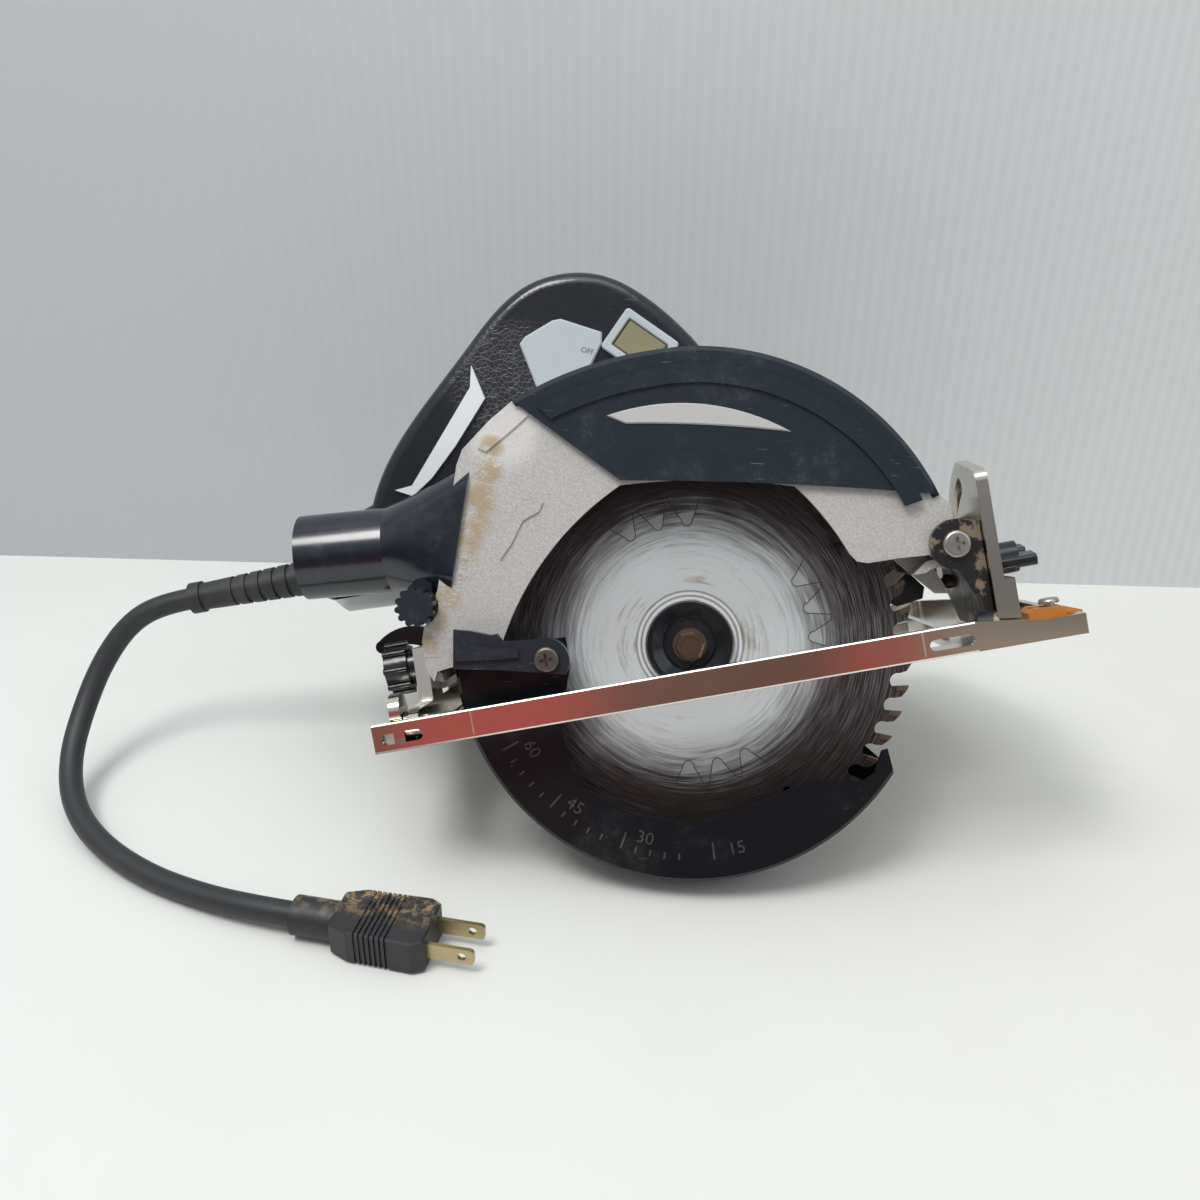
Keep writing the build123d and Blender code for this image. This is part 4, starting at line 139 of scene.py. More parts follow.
class Graph:
    """A node tree with short calls for adding and joining nodes."""

    def __init__(self, tree: bpy.types.NodeTree) -> None:
        """Starts on a tree."""
        self.tree = tree
        self.count = 0

    def add(self, kind: str, **values: object) -> bpy.types.Node:
        """Adds a node.

        Args:
            kind: the node's type name.
            values: properties of the node.

        Returns:
            The new node.
        """
        node = self.tree.nodes.new(kind)
        node.location = (self.count * 180, 0)
        self.count += 1
        for name, value in values.items():
            setattr(node, name, value)
        return node

    def join(self, source: Socket, target: Socket) -> None:
        """Joins an output socket to an input socket."""
        self.tree.links.new(source, target)

    def put(self, value: Value | Colour, target: Socket) -> None:
        """Gives an input a number or a colour of its own, or joins another node's output to it.

        Args:
            value: the number, the colour or the output.
            target: the input.
        """
        if isinstance(value, tuple):
            target.default_value = (*value, 1.0)
        elif isinstance(value, (int, float)):
            target.default_value = value
        else:
            self.join(value, target)

    def math(self, operation: str, *values: Value) -> Socket:
        """Adds a Math node.

        Args:
            operation: the sum's type name.
            values: its one or two values.

        Returns:
            The result.
        """
        node = self.add("ShaderNodeMath", operation=operation)
        for target, value in zip(node.inputs, values):
            self.put(value, target)
        return node.outputs[0]

    def vector_math(self, operation: str, first: Socket, second: Vector | None = None) -> bpy.types.Node:
        """Adds a Vector Math node.

        Args:
            operation: the sum's type name.
            first: the changing vector.
            second: the fixed vector, where the sum has one.

        Returns:
            The node.
        """
        node = self.add("ShaderNodeVectorMath", operation=operation)
        self.join(first, node.inputs[0])
        if second is not None:
            node.inputs[1].default_value = second
        return node

    def parts(self, vector: Socket) -> bpy.types.bpy_prop_collection:
        """Takes a vector apart.

        Args:
            vector: the vector.

        Returns:
            Its X, Y and Z.
        """
        node = self.add("ShaderNodeSeparateXYZ")
        self.join(vector, node.inputs[0])
        return node.outputs

    def ramp(self, value: Socket, low: float, high: float) -> Socket:
        """Maps a range smoothly to 0 to 1.

        Args:
            value: what is mapped.
            low: the value that gives 0.
            high: the value that gives 1.

        Returns:
            The mapped value.
        """
        node = self.add("ShaderNodeMapRange", interpolation_type="SMOOTHSTEP")
        node.inputs["From Min"].default_value = low
        node.inputs["From Max"].default_value = high
        self.join(value, node.inputs["Value"])
        return node.outputs["Result"]

    def mix(self, factor: Value, first: Paint, second: Paint) -> Socket:
        """Mixes two colours.

        Args:
            factor: how much of the second colour is taken, from 0 to 1.
            first: the first colour.
            second: the second colour.

        Returns:
            The mixed colour.
        """
        node = self.add("ShaderNodeMix", data_type="RGBA")
        for target, value in ((node.inputs[0], factor), (node.inputs[6], first), (node.inputs[7], second)):
            self.put(value, target)
        return node.outputs[2]

    def cover(self, mask: Socket, share: float, under: Paint, over: Paint) -> Socket:
        """Lays a colour over another, as far as a mask times a share says."""
        return self.mix(self.math("MULTIPLY", mask, share), under, over)

    def noise(self, vector: Socket, scale: float, detail: float = 4.0, roughness: float = 0.6) -> Socket:
        """Adds a noise texture.

        Args:
            vector: where it is read.
            scale: its scale.
            detail: how many finer layers it has.
            roughness: how strong the finer layers are.

        Returns:
            Its value.
        """
        node = self.add("ShaderNodeTexNoise")
        node.inputs["Scale"].default_value = scale
        node.inputs["Detail"].default_value = detail
        node.inputs["Roughness"].default_value = roughness
        self.join(vector, node.inputs["Vector"])
        return node.outputs[0]


def new_group(name: str, *outputs: str) -> tuple[Graph, Socket, dict[str, Socket]]:
    """Makes an empty shader group that reads a place and puts out numbers.

    Args:
        name: the group's name.
        outputs: the names of its outputs.

    Returns:
        The group's graph, the place that it is given, and its output sockets by name.
    """
    tree = bpy.data.node_groups.new(name, "ShaderNodeTree")
    tree.interface.new_socket(name="Vector", in_out="INPUT", socket_type="NodeSocketVector")
    for label in outputs:
        tree.interface.new_socket(name=label, in_out="OUTPUT", socket_type="NodeSocketFloat")
    graph = Graph(tree)
    start = graph.add("NodeGroupInput")
    end = graph.add("NodeGroupOutput")
    return graph, start.outputs["Vector"], {label: end.inputs[label] for label in outputs}


@dataclass
class Effects:
    """The shader groups that several finishes share."""

    axes: SawAxes
    scratch_maps: tuple[Pair, ...] = ((0.5, 60.0), (-0.9, 45.0))
    scratch_stretch: float = 22.0
    cloud_scale: float = 28.0
    speck_scale: float = 210.0

    def __post_init__(self) -> None:
        """Makes each group once."""
        self.scratches = self._scratches()
        self.grime = self._grime()
        self.polar = self._polar()

    def _scratches(self) -> bpy.types.NodeTree:
        """Makes the group of fine straight scratches.

        Returns:
            A group that puts out a mask of scratches in two directions, in patches.
        """
        graph, place, result = new_group("scratches", "Mask")
        masks = []
        for turn, scale in self.scratch_maps:
            mapping = graph.add("ShaderNodeMapping")
            mapping.inputs["Rotation"].default_value = (0.4, turn, 0.2)
            across = scale * self.scratch_stretch
            mapping.inputs["Scale"].default_value = (scale, across, across)
            graph.join(place, mapping.inputs["Vector"])
            masks.append(graph.ramp(graph.noise(mapping.outputs["Vector"], 1.0, 3.0), 0.67, 0.74))
        patch = graph.ramp(graph.noise(place, 45.0), 0.45, 0.62)
        graph.join(graph.math("MULTIPLY", graph.math("MAXIMUM", *masks), patch), result["Mask"])
        return graph.tree

    def _grime(self) -> bpy.types.NodeTree:
        """Makes the group of cloudy dirt.

        Returns:
            A group that puts out a mask of dirt.
        """
        graph, place, result = new_group("grime", "Mask")
        large = graph.math("MULTIPLY", graph.noise(place, self.cloud_scale, 6.0, 0.7), 0.7)
        small = graph.math("MULTIPLY", graph.noise(place, self.speck_scale, 4.0, 0.7), 0.3)
        graph.join(graph.ramp(graph.math("ADD", large, small), 0.50, 0.80), result["Mask"])
        return graph.tree

    def _polar(self) -> bpy.types.NodeTree:
        """Makes the group of places about the spindle.

        Returns:
            A group that puts out the distance from the axis, in metres, and the turn from 0 to 1.
        """
        graph, place, result = new_group("about_spindle", "Radius", "Turn")
        away = graph.vector_math("SUBTRACT", place, self.axes.origin).outputs[0]
        ahead = graph.vector_math("DOT_PRODUCT", away, self.axes.ahead).outputs["Value"]
        up = graph.vector_math("DOT_PRODUCT", away, self.axes.up).outputs["Value"]
        squares = [graph.math("MULTIPLY", part, part) for part in (ahead, up)]
        graph.join(graph.math("SQRT", graph.math("ADD", *squares)), result["Radius"])
        angle = graph.math("DIVIDE", graph.math("ARCTAN2", up, ahead), 2 * math.pi)
        graph.join(graph.math("ADD", angle, 0.5), result["Turn"])
        return graph.tree


# ---- Finishes ---------------------------------------------------------------------------------------


class Painter:
    """A new material: its graph, its shader and its Object coordinates."""

    full_share = 0.45

    def __init__(self, name: str) -> None:
        """Starts a material with a shader and nothing on it.

        Args:
            name: the material's name.
        """
        self.material = bpy.data.materials.new(name)
        self.material.use_nodes = True
        tree = self.material.node_tree
        tree.nodes.clear()
        self.graph = Graph(tree)
        self.shader = self.graph.add("ShaderNodeBsdfPrincipled")
        output = self.graph.add("ShaderNodeOutputMaterial")
        self.graph.join(self.shader.outputs[0], output.inputs[0])
        self.place = self.graph.add("ShaderNodeTexCoord").outputs["Object"]

    def group(self, tree: bpy.types.NodeTree, output: str = "Mask") -> Socket:
        """Adds a shared group on the Object coordinates.

        Args:
            tree: the group.
            output: the name of the output that is wanted.

        Returns:
            The output.
        """
        node = self.graph.add("ShaderNodeGroup", node_tree=tree)
        self.graph.join(self.place, node.inputs["Vector"])
        return node.outputs[output]

    def feed(self, **sockets: Value | Colour) -> None:
        """Sets or joins the shader's inputs, by name."""
        for name, value in sockets.items():
            self.graph.put(value, self.shader.inputs[name.replace("_", " ")])

    def roughen(self, mask: Socket, more: float, least: float) -> None:
        """Sets the roughness to its least value plus a share of a mask."""
        self.feed(Roughness=self.graph.math("ADD", self.graph.math("MULTIPLY", mask, more), least))

    def bump(self, height: Socket, strength: float, distance: float) -> None:
        """Gives the shader a bump.

        Args:
            height: its height, from 0 to 1.
            strength: its strength, from 0 to 1.
            distance: how high it stands, in metres.
        """
        node = self.graph.add("ShaderNodeBump")
        node.inputs["Strength"].default_value = strength
        node.inputs["Distance"].default_value = distance
        self.graph.join(height, node.inputs["Height"])
        self.graph.join(node.outputs["Normal"], self.shader.inputs["Normal"])

    def near(self, centre: Vector, reach: Triple) -> Socket:
        """Marks a place with a mask that falls off over an ellipsoid.

        Args:
            centre: the place, in metres.
            reach: the ellipsoid's half sizes, in metres.

        Returns:
            The mask.
        """
        graph = self.graph
        away = graph.vector_math("SUBTRACT", self.place, centre).outputs[0]
        share = graph.vector_math("DIVIDE", away, Vector(reach)).outputs[0]
        return graph.ramp(graph.vector_math("LENGTH", share).outputs["Value"], 1.0, self.full_share)


@dataclass(frozen=True)
class Finish:
    """What one material of the saw looks like."""

    name: str

    def build(self, effects: Effects) -> bpy.types.Material:
        """Makes the material.

        Args:
            effects: the shared shader groups.

        Returns:
            The material.
        """
        paint = Painter(self.name)
        self.dress(paint, paint.graph, effects)
        return paint.material

    def dress(self, paint: Painter, graph: Graph, effects: Effects) -> None:
        """Adds the nodes of one kind of finish.

        Args:
            paint: the new material.
            graph: its node tree.
            effects: the shared shader groups.
        """
        raise NotImplementedError


@dataclass(frozen=True)
class Plastic(Finish):
    """A moulded plastic or rubber with scuffs and dust."""

    colour: Colour
    dust: Colour = (0.30, 0.29, 0.27)
    dust_share: float = 0.10
    roughness: float = 0.38
    scratch: float = 0.35
    grain: float = 900.0
    grain_depth: float = 0.0
    gloss: float = 0.45
    dust_rough: float = 0.22

    def dress(self, paint: Painter, graph: Graph, effects: Effects) -> None:
        """Lays dust and pale scratches on the plastic's own colour.

        Args:
            paint: the new material.
            graph: its node tree.
            effects: the shared shader groups.
        """
        grime = paint.group(effects.grime)
        dusty = graph.cover(grime, self.dust_share, self.colour, self.dust)
        worn = graph.cover(paint.group(effects.scratches), self.scratch, dusty, self.dust)
        paint.feed(Base_Color=worn, Specular_IOR_Level=self.gloss)
        paint.roughen(grime, self.dust_rough, self.roughness)
        if self.grain_depth:
            paint.bump(graph.noise(paint.place, self.grain, 2.0), 0.5, self.grain_depth)


@dataclass(frozen=True)
class Metal(Finish):
    """A bare or plated metal with tarnish and scratches."""

    colour: Colour
    tarnish: Colour = (0.30, 0.21, 0.12)
    tarnish_share: float = 0.35
    roughness: float = 0.24
    scratch: float = 0.4
    rubbed: Colour = (0.80, 0.78, 0.74)
    tarnish_rough: float = 0.25

    def dress(self, paint: Painter, graph: Graph, effects: Effects) -> None:
        """Lays tarnish and bright scratches on the metal's own colour.

        Args:
            paint: the new material.
            graph: its node tree.
            effects: the shared shader groups.
        """
        grime = paint.group(effects.grime)
        stained = graph.cover(grime, self.tarnish_share, self.colour, self.tarnish)
        lined = graph.cover(paint.group(effects.scratches), self.scratch, stained, self.rubbed)
        paint.feed(Base_Color=lined, Metallic=1.0)
        paint.roughen(grime, self.tarnish_rough, self.roughness)


@dataclass(frozen=True)
class CastPaint(Finish):
    """Light metallic paint on the cast case, speckled, with dried glue along the nozzle's seam."""

    axes: SawAxes
    colour: Colour = (0.50, 0.485, 0.47)
    speckle_scale: float = 1500.0
    speckle_dark: float = 0.88
    speckle_pale: float = 1.14
    dirt: Colour = (0.27, 0.22, 0.17)
    dirt_share: float = 0.35
    scratch: Colour = (0.12, 0.11, 0.10)
    scratch_share: float = 0.5
    bare: Colour = (0.82, 0.80, 0.77)
    bare_share: float = 0.5
    bare_place: Triple = (-52.0, -19.0, 88.0)
    bare_reach: Triple = (0.017, 0.014, 0.017)
    metal: float = 0.2
    roughness: float = 0.42
    relief: float = 0.00010
    glue: Colour = (0.36, 0.25, 0.11)
    glue_share: float = 0.75
    glue_lift: float = 9.0
    seam: tuple[Triple, ...] = (
        (-57, 86, 6), (-60, 78, 7), (-64, 68, 8), (-69, 60, 9), (-74, 52, 9), (-79, 44, 8), (-83, 36, 7),
        (-88, 28, 6), (-93, 20, 5),
    )
    seam_y: float = -16.0

    def dress(self, paint: Painter, graph: Graph, effects: Effects) -> None:
        """Lays dirt, scratches, a rubbed corner and glue on the speckled paint.

        Args:
            paint: the new material.
            graph: its node tree.
            effects: the shared shader groups.
        """
        speckle = graph.ramp(graph.noise(paint.place, self.speckle_scale, 2.0), 0.35, 0.68)
        dark = tuple(part * self.speckle_dark for part in self.colour)
        pale = tuple(part * self.speckle_pale for part in self.colour)
        grime = paint.group(effects.grime)
        dirty = graph.cover(grime, self.dirt_share, graph.mix(speckle, dark, pale), self.dirt)
        scratched = graph.cover(paint.group(effects.scratches), self.scratch_share, dirty, self.scratch)
        rubbed = paint.near(self.axes.point(*self.bare_place), self.bare_reach)
        bright = graph.cover(rubbed, self.bare_share, scratched, self.bare)
        crust = self.crust(paint, graph)
        paint.feed(Base_Color=graph.cover(crust, self.glue_share, bright, self.glue))
        paint.feed(Metallic=graph.math("SUBTRACT", self.metal, graph.math("MULTIPLY", crust, self.metal)))
        paint.roughen(grime, 0.2, self.roughness)
        height = graph.math("ADD", speckle, graph.math("MULTIPLY", crust, self.glue_lift))
        paint.bump(height, 0.3, self.relief)

    def crust(self, paint: Painter, graph: Graph) -> Socket:
        """Marks the dried glue by a row of spots, each with its X, Z and reach in millimetres.

        Args:
            paint: the new material.
            graph: its node tree.

        Returns:
            A ragged mask along the seam.
        """
        total = None
        for x, z, reach in self.seam:
            spot = paint.near(self.axes.point(x, self.seam_y, z), (reach * MM, reach * 3 * MM, reach * MM))
            total = spot if total is None else graph.math("MAXIMUM", total, spot)
        ragged = graph.ramp(graph.noise(paint.place, 120.0, 5.0, 0.7), 0.36, 0.60)
        return graph.math("MULTIPLY", total, ragged)


@dataclass(frozen=True)
class WornPaint(Finish):
    """Black paint that has worn to tan-stained metal in patches."""

    paint: Colour = (0.010, 0.010, 0.012)
    bare: Colour = (0.30, 0.24, 0.17)
    bare_metal: float = 0.6
    patch_scale: float = 120.0
    patch_zone: Pair = (0.50, 0.58)
    roughness: float = 0.34

    def dress(self, paint: Painter, graph: Graph, effects: Effects) -> None:
        """Lets the metal show through the paint in sharp-edged patches.

        Args:
            paint: the new material.
            graph: its node tree.
            effects: the shared shader groups.
        """
        worn = graph.ramp(graph.noise(paint.place, self.patch_scale, 5.0, 0.7), *self.patch_zone)
        paint.feed(Base_Color=graph.mix(worn, self.paint, self.bare))
        paint.feed(Metallic=graph.math("MULTIPLY", worn, self.bare_metal), Roughness=self.roughness)


@dataclass(frozen=True)
class GluedRubber(Finish):
    """Charcoal rubber of the plug with amber glue dried on its upper side."""

    colour: Colour = (0.022, 0.023, 0.026)
    glue: Colour = (0.30, 0.20, 0.10)
    top: Pair = (0.010, 0.0142)
    far_side: Pair = (-0.173, -0.157)
    slant: float = 0.229
    crust_scale: float = 230.0
    crust_zone: Pair = (0.46, 0.60)
    crust_height: float = 0.0003
    roughness: float = 0.48

    def dress(self, paint: Painter, graph: Graph, effects: Effects) -> None:
        """Lays raised glue on the top of the plug's far side.

        Args:
            paint: the new material.
            graph: its node tree.
            effects: the shared shader groups.
        """
        x, y, z = graph.parts(paint.place)
        across = graph.math("ADD", y, graph.math("MULTIPLY", x, self.slant))
        covered = graph.math("MULTIPLY", graph.ramp(z, *self.top), graph.ramp(across, *self.far_side))
        ragged = graph.ramp(graph.noise(paint.place, self.crust_scale, 5.0, 0.75), *self.crust_zone)
        glued = graph.math("MULTIPLY", covered, ragged)
        paint.feed(Base_Color=graph.mix(glued, self.colour, self.glue))
        paint.roughen(glued, -0.2, self.roughness)
        paint.bump(glued, 0.5, self.crust_height)


@dataclass(frozen=True)
class BladeSteel(Finish):
    """A worn blade: pale and stained inside, dark with burnt resin outside, with short round scratches that
    carry a painted highlight in two fans on the rim.
    """

    bright: Colour = (0.62, 0.66, 0.67)
    stain: Colour = (0.27, 0.19, 0.11)
    burnt: Colour = (0.020, 0.013, 0.012)
    # The rim's scratch colour, which in the two fans is also a painted highlight
    sheen: Colour = (0.25, 0.24, 0.26)
    burnt_zone: Pair = (0.037, 0.060)
    stain_zone: Pair = (0.040, 0.018)
    stain_mask: Pair = (1.02, 1.28)
    stain_share: float = 0.75
    fine: Pair = (2600.0, 26.0)
    wide: Pair = (700.0, 9.0)
    swing: float = 0.024
    cloud_scale: float = 34.0
    cloud_swing: float = 0.006
    scratch_zone: Pair = (0.42, 0.66)
    scratch_least: float = 0.10
    # Painted highlight: how strongly and how narrowly the rim's scratches are lightened to the left and right
    painted_highlight_share: float = 0.55
    painted_highlight_power: float = 2.5
    ring_radii: Pair = (0.0172, 0.0190)
    ring_gap: float = 0.0009
    ring_pale: Colour = (0.86, 0.86, 0.85)
    ring_pale_share: float = 0.7
    ring_dark: Colour = (0.10, 0.09, 0.09)
    ring_dark_share: float = 0.6
    metal: float = 0.30
    roughness: float = 0.30
    scratch_depth: float = 0.00003

    def dress(self, paint: Painter, graph: Graph, effects: Effects) -> None:
        """Joins the pale centre and the burnt rim along a streaked edge, and adds the polished rings.

        Args:
            paint: the new material.
            graph: its node tree.
            effects: the shared shader groups.
        """
        radius = paint.group(effects.polar, "Radius")
        turn = paint.group(effects.polar, "Turn")
        fine = self.streaks(graph, radius, turn, *self.fine)
        wide = self.streaks(graph, radius, turn, *self.wide)
        cloud = graph.noise(paint.place, self.cloud_scale, 6.0, 0.7)
        near_hub = graph.ramp(radius, *self.stain_zone)
        stained = graph.ramp(graph.math("ADD", cloud, wide), *self.stain_mask)
        stains = graph.math("MULTIPLY", stained, near_hub)
        centre = graph.cover(stains, self.stain_share, self.bright, self.stain)
        streaky = graph.math("SUBTRACT", graph.math("ADD", fine, wide), 1.0)
        swung = graph.math("MULTIPLY", streaky, self.swing)
        cloudy = graph.math("MULTIPLY", cloud, self.cloud_swing)
        edge = graph.math("ADD", radius, graph.math("ADD", swung, cloudy))
        worn = graph.mix(graph.ramp(edge, *self.burnt_zone), centre, self.rim(graph, turn, fine))
        for at in self.ring_radii:
            worn = self.ring(graph, radius, at, self.ring_pale_share, worn, self.ring_pale)
            worn = self.ring(graph, radius, at + self.ring_gap, self.ring_dark_share, worn, self.ring_dark)
        paint.feed(Base_Color=worn, Metallic=self.metal)
        paint.roughen(fine, 0.2, self.roughness)
        paint.bump(fine, 0.2, self.scratch_depth)

    def rim(self, graph: Graph, turn: Socket, fine: Socket) -> Socket:
        """Colours the burnt rim, whose scratches are lightened in two fans to the left and right, a painted
        highlight.

        Args:
            graph: the material's node tree.
            turn: the turn about the spindle.
            fine: the fine streaks.

        Returns:
            The rim's colour.
        """
        # Painted highlight: the scratches are lightened most to the left and right of the spindle, least at
        # the top and bottom
        fan = graph.math("ABSOLUTE", graph.math("COSINE", graph.math("MULTIPLY", turn, 2 * math.pi)))
        painted_highlight_fans = graph.math("MULTIPLY", graph.math("POWER", fan, self.painted_highlight_power), self.painted_highlight_share)
        spread = graph.math("ADD", self.scratch_least, painted_highlight_fans)
        shine = graph.math("MULTIPLY", graph.ramp(fine, *self.scratch_zone), spread)
        return graph.mix(shine, self.burnt, self.sheen)

    @staticmethod
    def ring(graph: Graph, radius: Socket, at: float, share: float, under: Socket, over: Colour) -> Socket:
        """Lays a thin ring about the spindle over a colour.

        Args:
            graph: the material's node tree.
            radius: the distance from the spindle.
            at: the ring's own radius, in metres.
            share: how strong the ring is.
            under: the colour under it.
            over: its own colour.

        Returns:
            The colour with the ring.
        """
        away = graph.math("ABSOLUTE", graph.math("SUBTRACT", radius, at))
        return graph.cover(graph.ramp(away, 0.0005, 0.0002), share, under, over)

    @staticmethod
    def streaks(graph: Graph, radius: Socket, turn: Socket, across: float, along: float) -> Socket:
        """Draws noise out round the spindle.

        Args:
            graph: the material's node tree.
            radius: the distance from the spindle.
            turn: the turn about it.
            across: how fine the streaks are from the spindle outwards.
            along: how fine they are round it.

        Returns:
            The streaks.
        """
        rings = graph.add("ShaderNodeCombineXYZ")
        graph.join(graph.math("MULTIPLY", radius, across), rings.inputs[0])
        graph.join(graph.math("MULTIPLY", turn, along), rings.inputs[1])
        return graph.noise(rings.outputs[0], 1.0, 3.0)


@dataclass(frozen=True)
class TwoRings(Finish):
    """A turned piece with one finish near the spindle axis and another further out."""

    limit: float
    inside: Colour
    outside: Colour
    metal_inside: float
    metal_outside: float
    roughness: float
    dirt: Colour = (0.05, 0.04, 0.03)
    dirt_share: float = 0.4
    blur: float = 0.0004

    def dress(self, paint: Painter, graph: Graph, effects: Effects) -> None:
        """Changes from one finish to the other at the limit, with dirt on both.

        Args:
            paint: the new material.
            graph: its node tree.
            effects: the shared shader groups.
        """
        outer = graph.ramp(paint.group(effects.polar, "Radius"), self.limit, self.limit + self.blur)
        grime = paint.group(effects.grime)
        two = graph.mix(outer, self.inside, self.outside)
        paint.feed(Base_Color=graph.cover(grime, self.dirt_share, two, self.dirt))
        change = graph.math("MULTIPLY", outer, self.metal_outside - self.metal_inside)
        paint.feed(Metallic=graph.math("ADD", change, self.metal_inside))
        paint.roughen(grime, 0.2, self.roughness)


@dataclass(frozen=True)
class Crackle(Finish):
    """Black handle plastic whose skin has crackled."""

    axes: SawAxes
    colour: Colour = (0.009, 0.011, 0.016)
    scratch: Colour = (0.28, 0.27, 0.26)
    scratch_share: float = 0.25
    crack: Colour = (0.20, 0.19, 0.18)
    crack_share: float = 0.35
    crack_width: float = 0.09
    cell_scale: float = 520.0
    place: Triple = (-52.0, HANDLE_RIGHT, 112.0)
    reach: Triple = (0.030, 0.020, 0.036)
    roughness: float = 0.20
    gloss: float = 0.6
    wave_scale: float = 55.0
    wave_height: float = 5.0
    relief: float = 0.00012

    def dress(self, paint: Painter, graph: Graph, effects: Effects) -> None:
        """Lays cracks between small cells about one place of the wavy plastic.

        Args:
            paint: the new material.
            graph: its node tree.
            effects: the shared shader groups.
        """
        cells = graph.add("ShaderNodeTexVoronoi", feature="DISTANCE_TO_EDGE")
        cells.inputs["Scale"].default_value = self.cell_scale
        graph.join(paint.place, cells.inputs["Vector"])
        cracks = graph.math("SUBTRACT", 1.0, graph.ramp(cells.outputs["Distance"], 0.0, self.crack_width))
        zone = paint.near(self.axes.point(*self.place), self.reach)
        lines = graph.math("MULTIPLY", cracks, zone)
        scratches = paint.group(effects.scratches)
        scratched = graph.cover(scratches, self.scratch_share, self.colour, self.scratch)
        cracked = graph.cover(lines, self.crack_share, scratched, self.crack)
        paint.feed(Base_Color=cracked, Specular_IOR_Level=self.gloss)
        paint.roughen(zone, 0.18, self.roughness)
        waves = graph.math("MULTIPLY", graph.noise(paint.place, self.wave_scale, 3.0, 0.6), self.wave_height)
        paint.bump(graph.math("SUBTRACT", waves, lines), 0.6, self.relief)


@dataclass(frozen=True)
class Surface(Finish):
    """A floor or wall of the surroundings, darker to the left by painted shade, with faint ribs drawn as
    painted shade where ribs is set.
    """

    colour: Colour
    # The colour at the left, darker by painted shade
    left: Colour
    mark_and_rib_shade: Colour
    ribs: float = 0.0
    rib_share: float = 0.16
    mark_share: float = 0.22
    cloud_scale: float = 5.0
    speck_scale: float = 130.0
    shade_reach: float = 0.45
    roughness: float = 0.75

    def dress(self, paint: Painter, graph: Graph, effects: Effects) -> None:
        """Lays faint clouds, specks and ribs on a colour that painted shade darkens towards the left along X.

        Args:
            paint: the new material.
            graph: its node tree.
            effects: the shared shader groups.
        """
        cloud = graph.ramp(graph.noise(paint.place, self.cloud_scale, 6.0, 0.6), 0.40, 0.75)
        specks = graph.ramp(graph.noise(paint.place, self.speck_scale, 3.0), 0.74, 0.79)
        # Painted shade: the colour darkens from the right towards the left colour
        painted_shade_ramp = graph.ramp(graph.parts(paint.place)[0], -self.shade_reach, self.shade_reach)
        shaded = graph.mix(painted_shade_ramp, self.left, self.colour)
        marked = graph.cover(graph.math("MAXIMUM", cloud, specks), self.mark_share, shaded, self.mark_and_rib_shade)
        if self.ribs:
            # Painted shade: the ribs' relief is drawn as darker colour bands
            wave = graph.add("ShaderNodeTexWave", bands_direction="X")
            wave.inputs["Scale"].default_value = self.ribs
            graph.join(paint.place, wave.inputs["Vector"])
            marked = graph.cover(wave.outputs["Fac"], self.rib_share, marked, self.mark_and_rib_shade)
        paint.feed(Base_Color=marked, Roughness=self.roughness)


def one_sided(material: bpy.types.Material) -> None:
    """Lets the back of a surface be seen through.

    Args:
        material: the surface's material, which is changed.
    """
    graph = Graph(material.node_tree)
    output = next(node for node in material.node_tree.nodes if node.type == "OUTPUT_MATERIAL")
    front = output.inputs[0].links[0].from_socket
    clear = graph.add("ShaderNodeBsdfTransparent")
    side = graph.add("ShaderNodeNewGeometry")
    mixer = graph.add("ShaderNodeMixShader")
    graph.join(side.outputs["Backfacing"], mixer.inputs[0])
    graph.join(front, mixer.inputs[1])
    graph.join(clear.outputs[0], mixer.inputs[2])
    graph.join(mixer.outputs[0], output.inputs[0])


# ---- Meshes -----------------------------------------------------------------------------------------


def placed(name: str, data: bpy.types.ID) -> bpy.types.Object:
    """Puts an object at the origin of the scene.

    Args:
        name: the object's name.
        data: its mesh, curve, light or camera.

    Returns:
        The object.
    """
    made = bpy.data.objects.new(name, data)
    bpy.context.scene.collection.objects.link(made)
    return made


def sheet(corners: list[Vector]) -> bmesh.types.BMesh:
    """Makes one flat face.

    Args:
        corners: its corners in the row frame, counter-clockwise for whoever looks at its front.

    Returns:
        The face's bmesh.
    """
    flat = bmesh.new()
    flat.faces.new([flat.verts.new(corner) for corner in corners])
    return flat


def prism(corners: list[Vector], away: Vector) -> bmesh.types.BMesh:
    """Draws a flat face out to a solid.

    Args:
        corners: the face's corners in the row frame.
        away: how far and which way the face is drawn.

    Returns:
        A closed bmesh in the row frame.
    """
    solid = sheet(corners)
    drawn = bmesh.ops.extrude_face_region(solid, geom=list(solid.faces))
    moved = [part for part in drawn["geom"] if isinstance(part, bmesh.types.BMVert)]
    bmesh.ops.translate(solid, verts=moved, vec=away)
    bmesh.ops.recalc_face_normals(solid, faces=solid.faces)
    return solid


def panel(axes: SawAxes, outline: list[Pair], y: float, height: float) -> bmesh.types.BMesh:
    """Raises a flat outline from a face that looks to -Y.

    Args:
        axes: the saw's axes.
        outline: corners in the saw's X and Z, in millimetres.
        y: where the face is.
        height: how far the panel stands out.

    Returns:
        A closed bmesh in the row frame.
    """
    return prism([axes.point(x, y, z) for x, z in outline], axes.motor * (-height * MM))


def merged(name: str, solids: list[bmesh.types.BMesh], material: bpy.types.Material) -> bpy.types.Object:
    """Joins bmeshes into one object, and frees them.

    Args:
        name: the object's name.
        solids: its bmeshes, in the row frame.
        material: its finish.

    Returns:
        The object.
    """
    total = bmesh.new()
    for solid in solids:
        part = bpy.data.meshes.new(name + "_part")
        solid.to_mesh(part)
        solid.free()
        total.from_mesh(part)
        bpy.data.meshes.remove(part)
    mesh = bpy.data.meshes.new(name)
    total.to_mesh(mesh)
    total.free()
    mesh.materials.append(material)
    return placed(name, mesh)


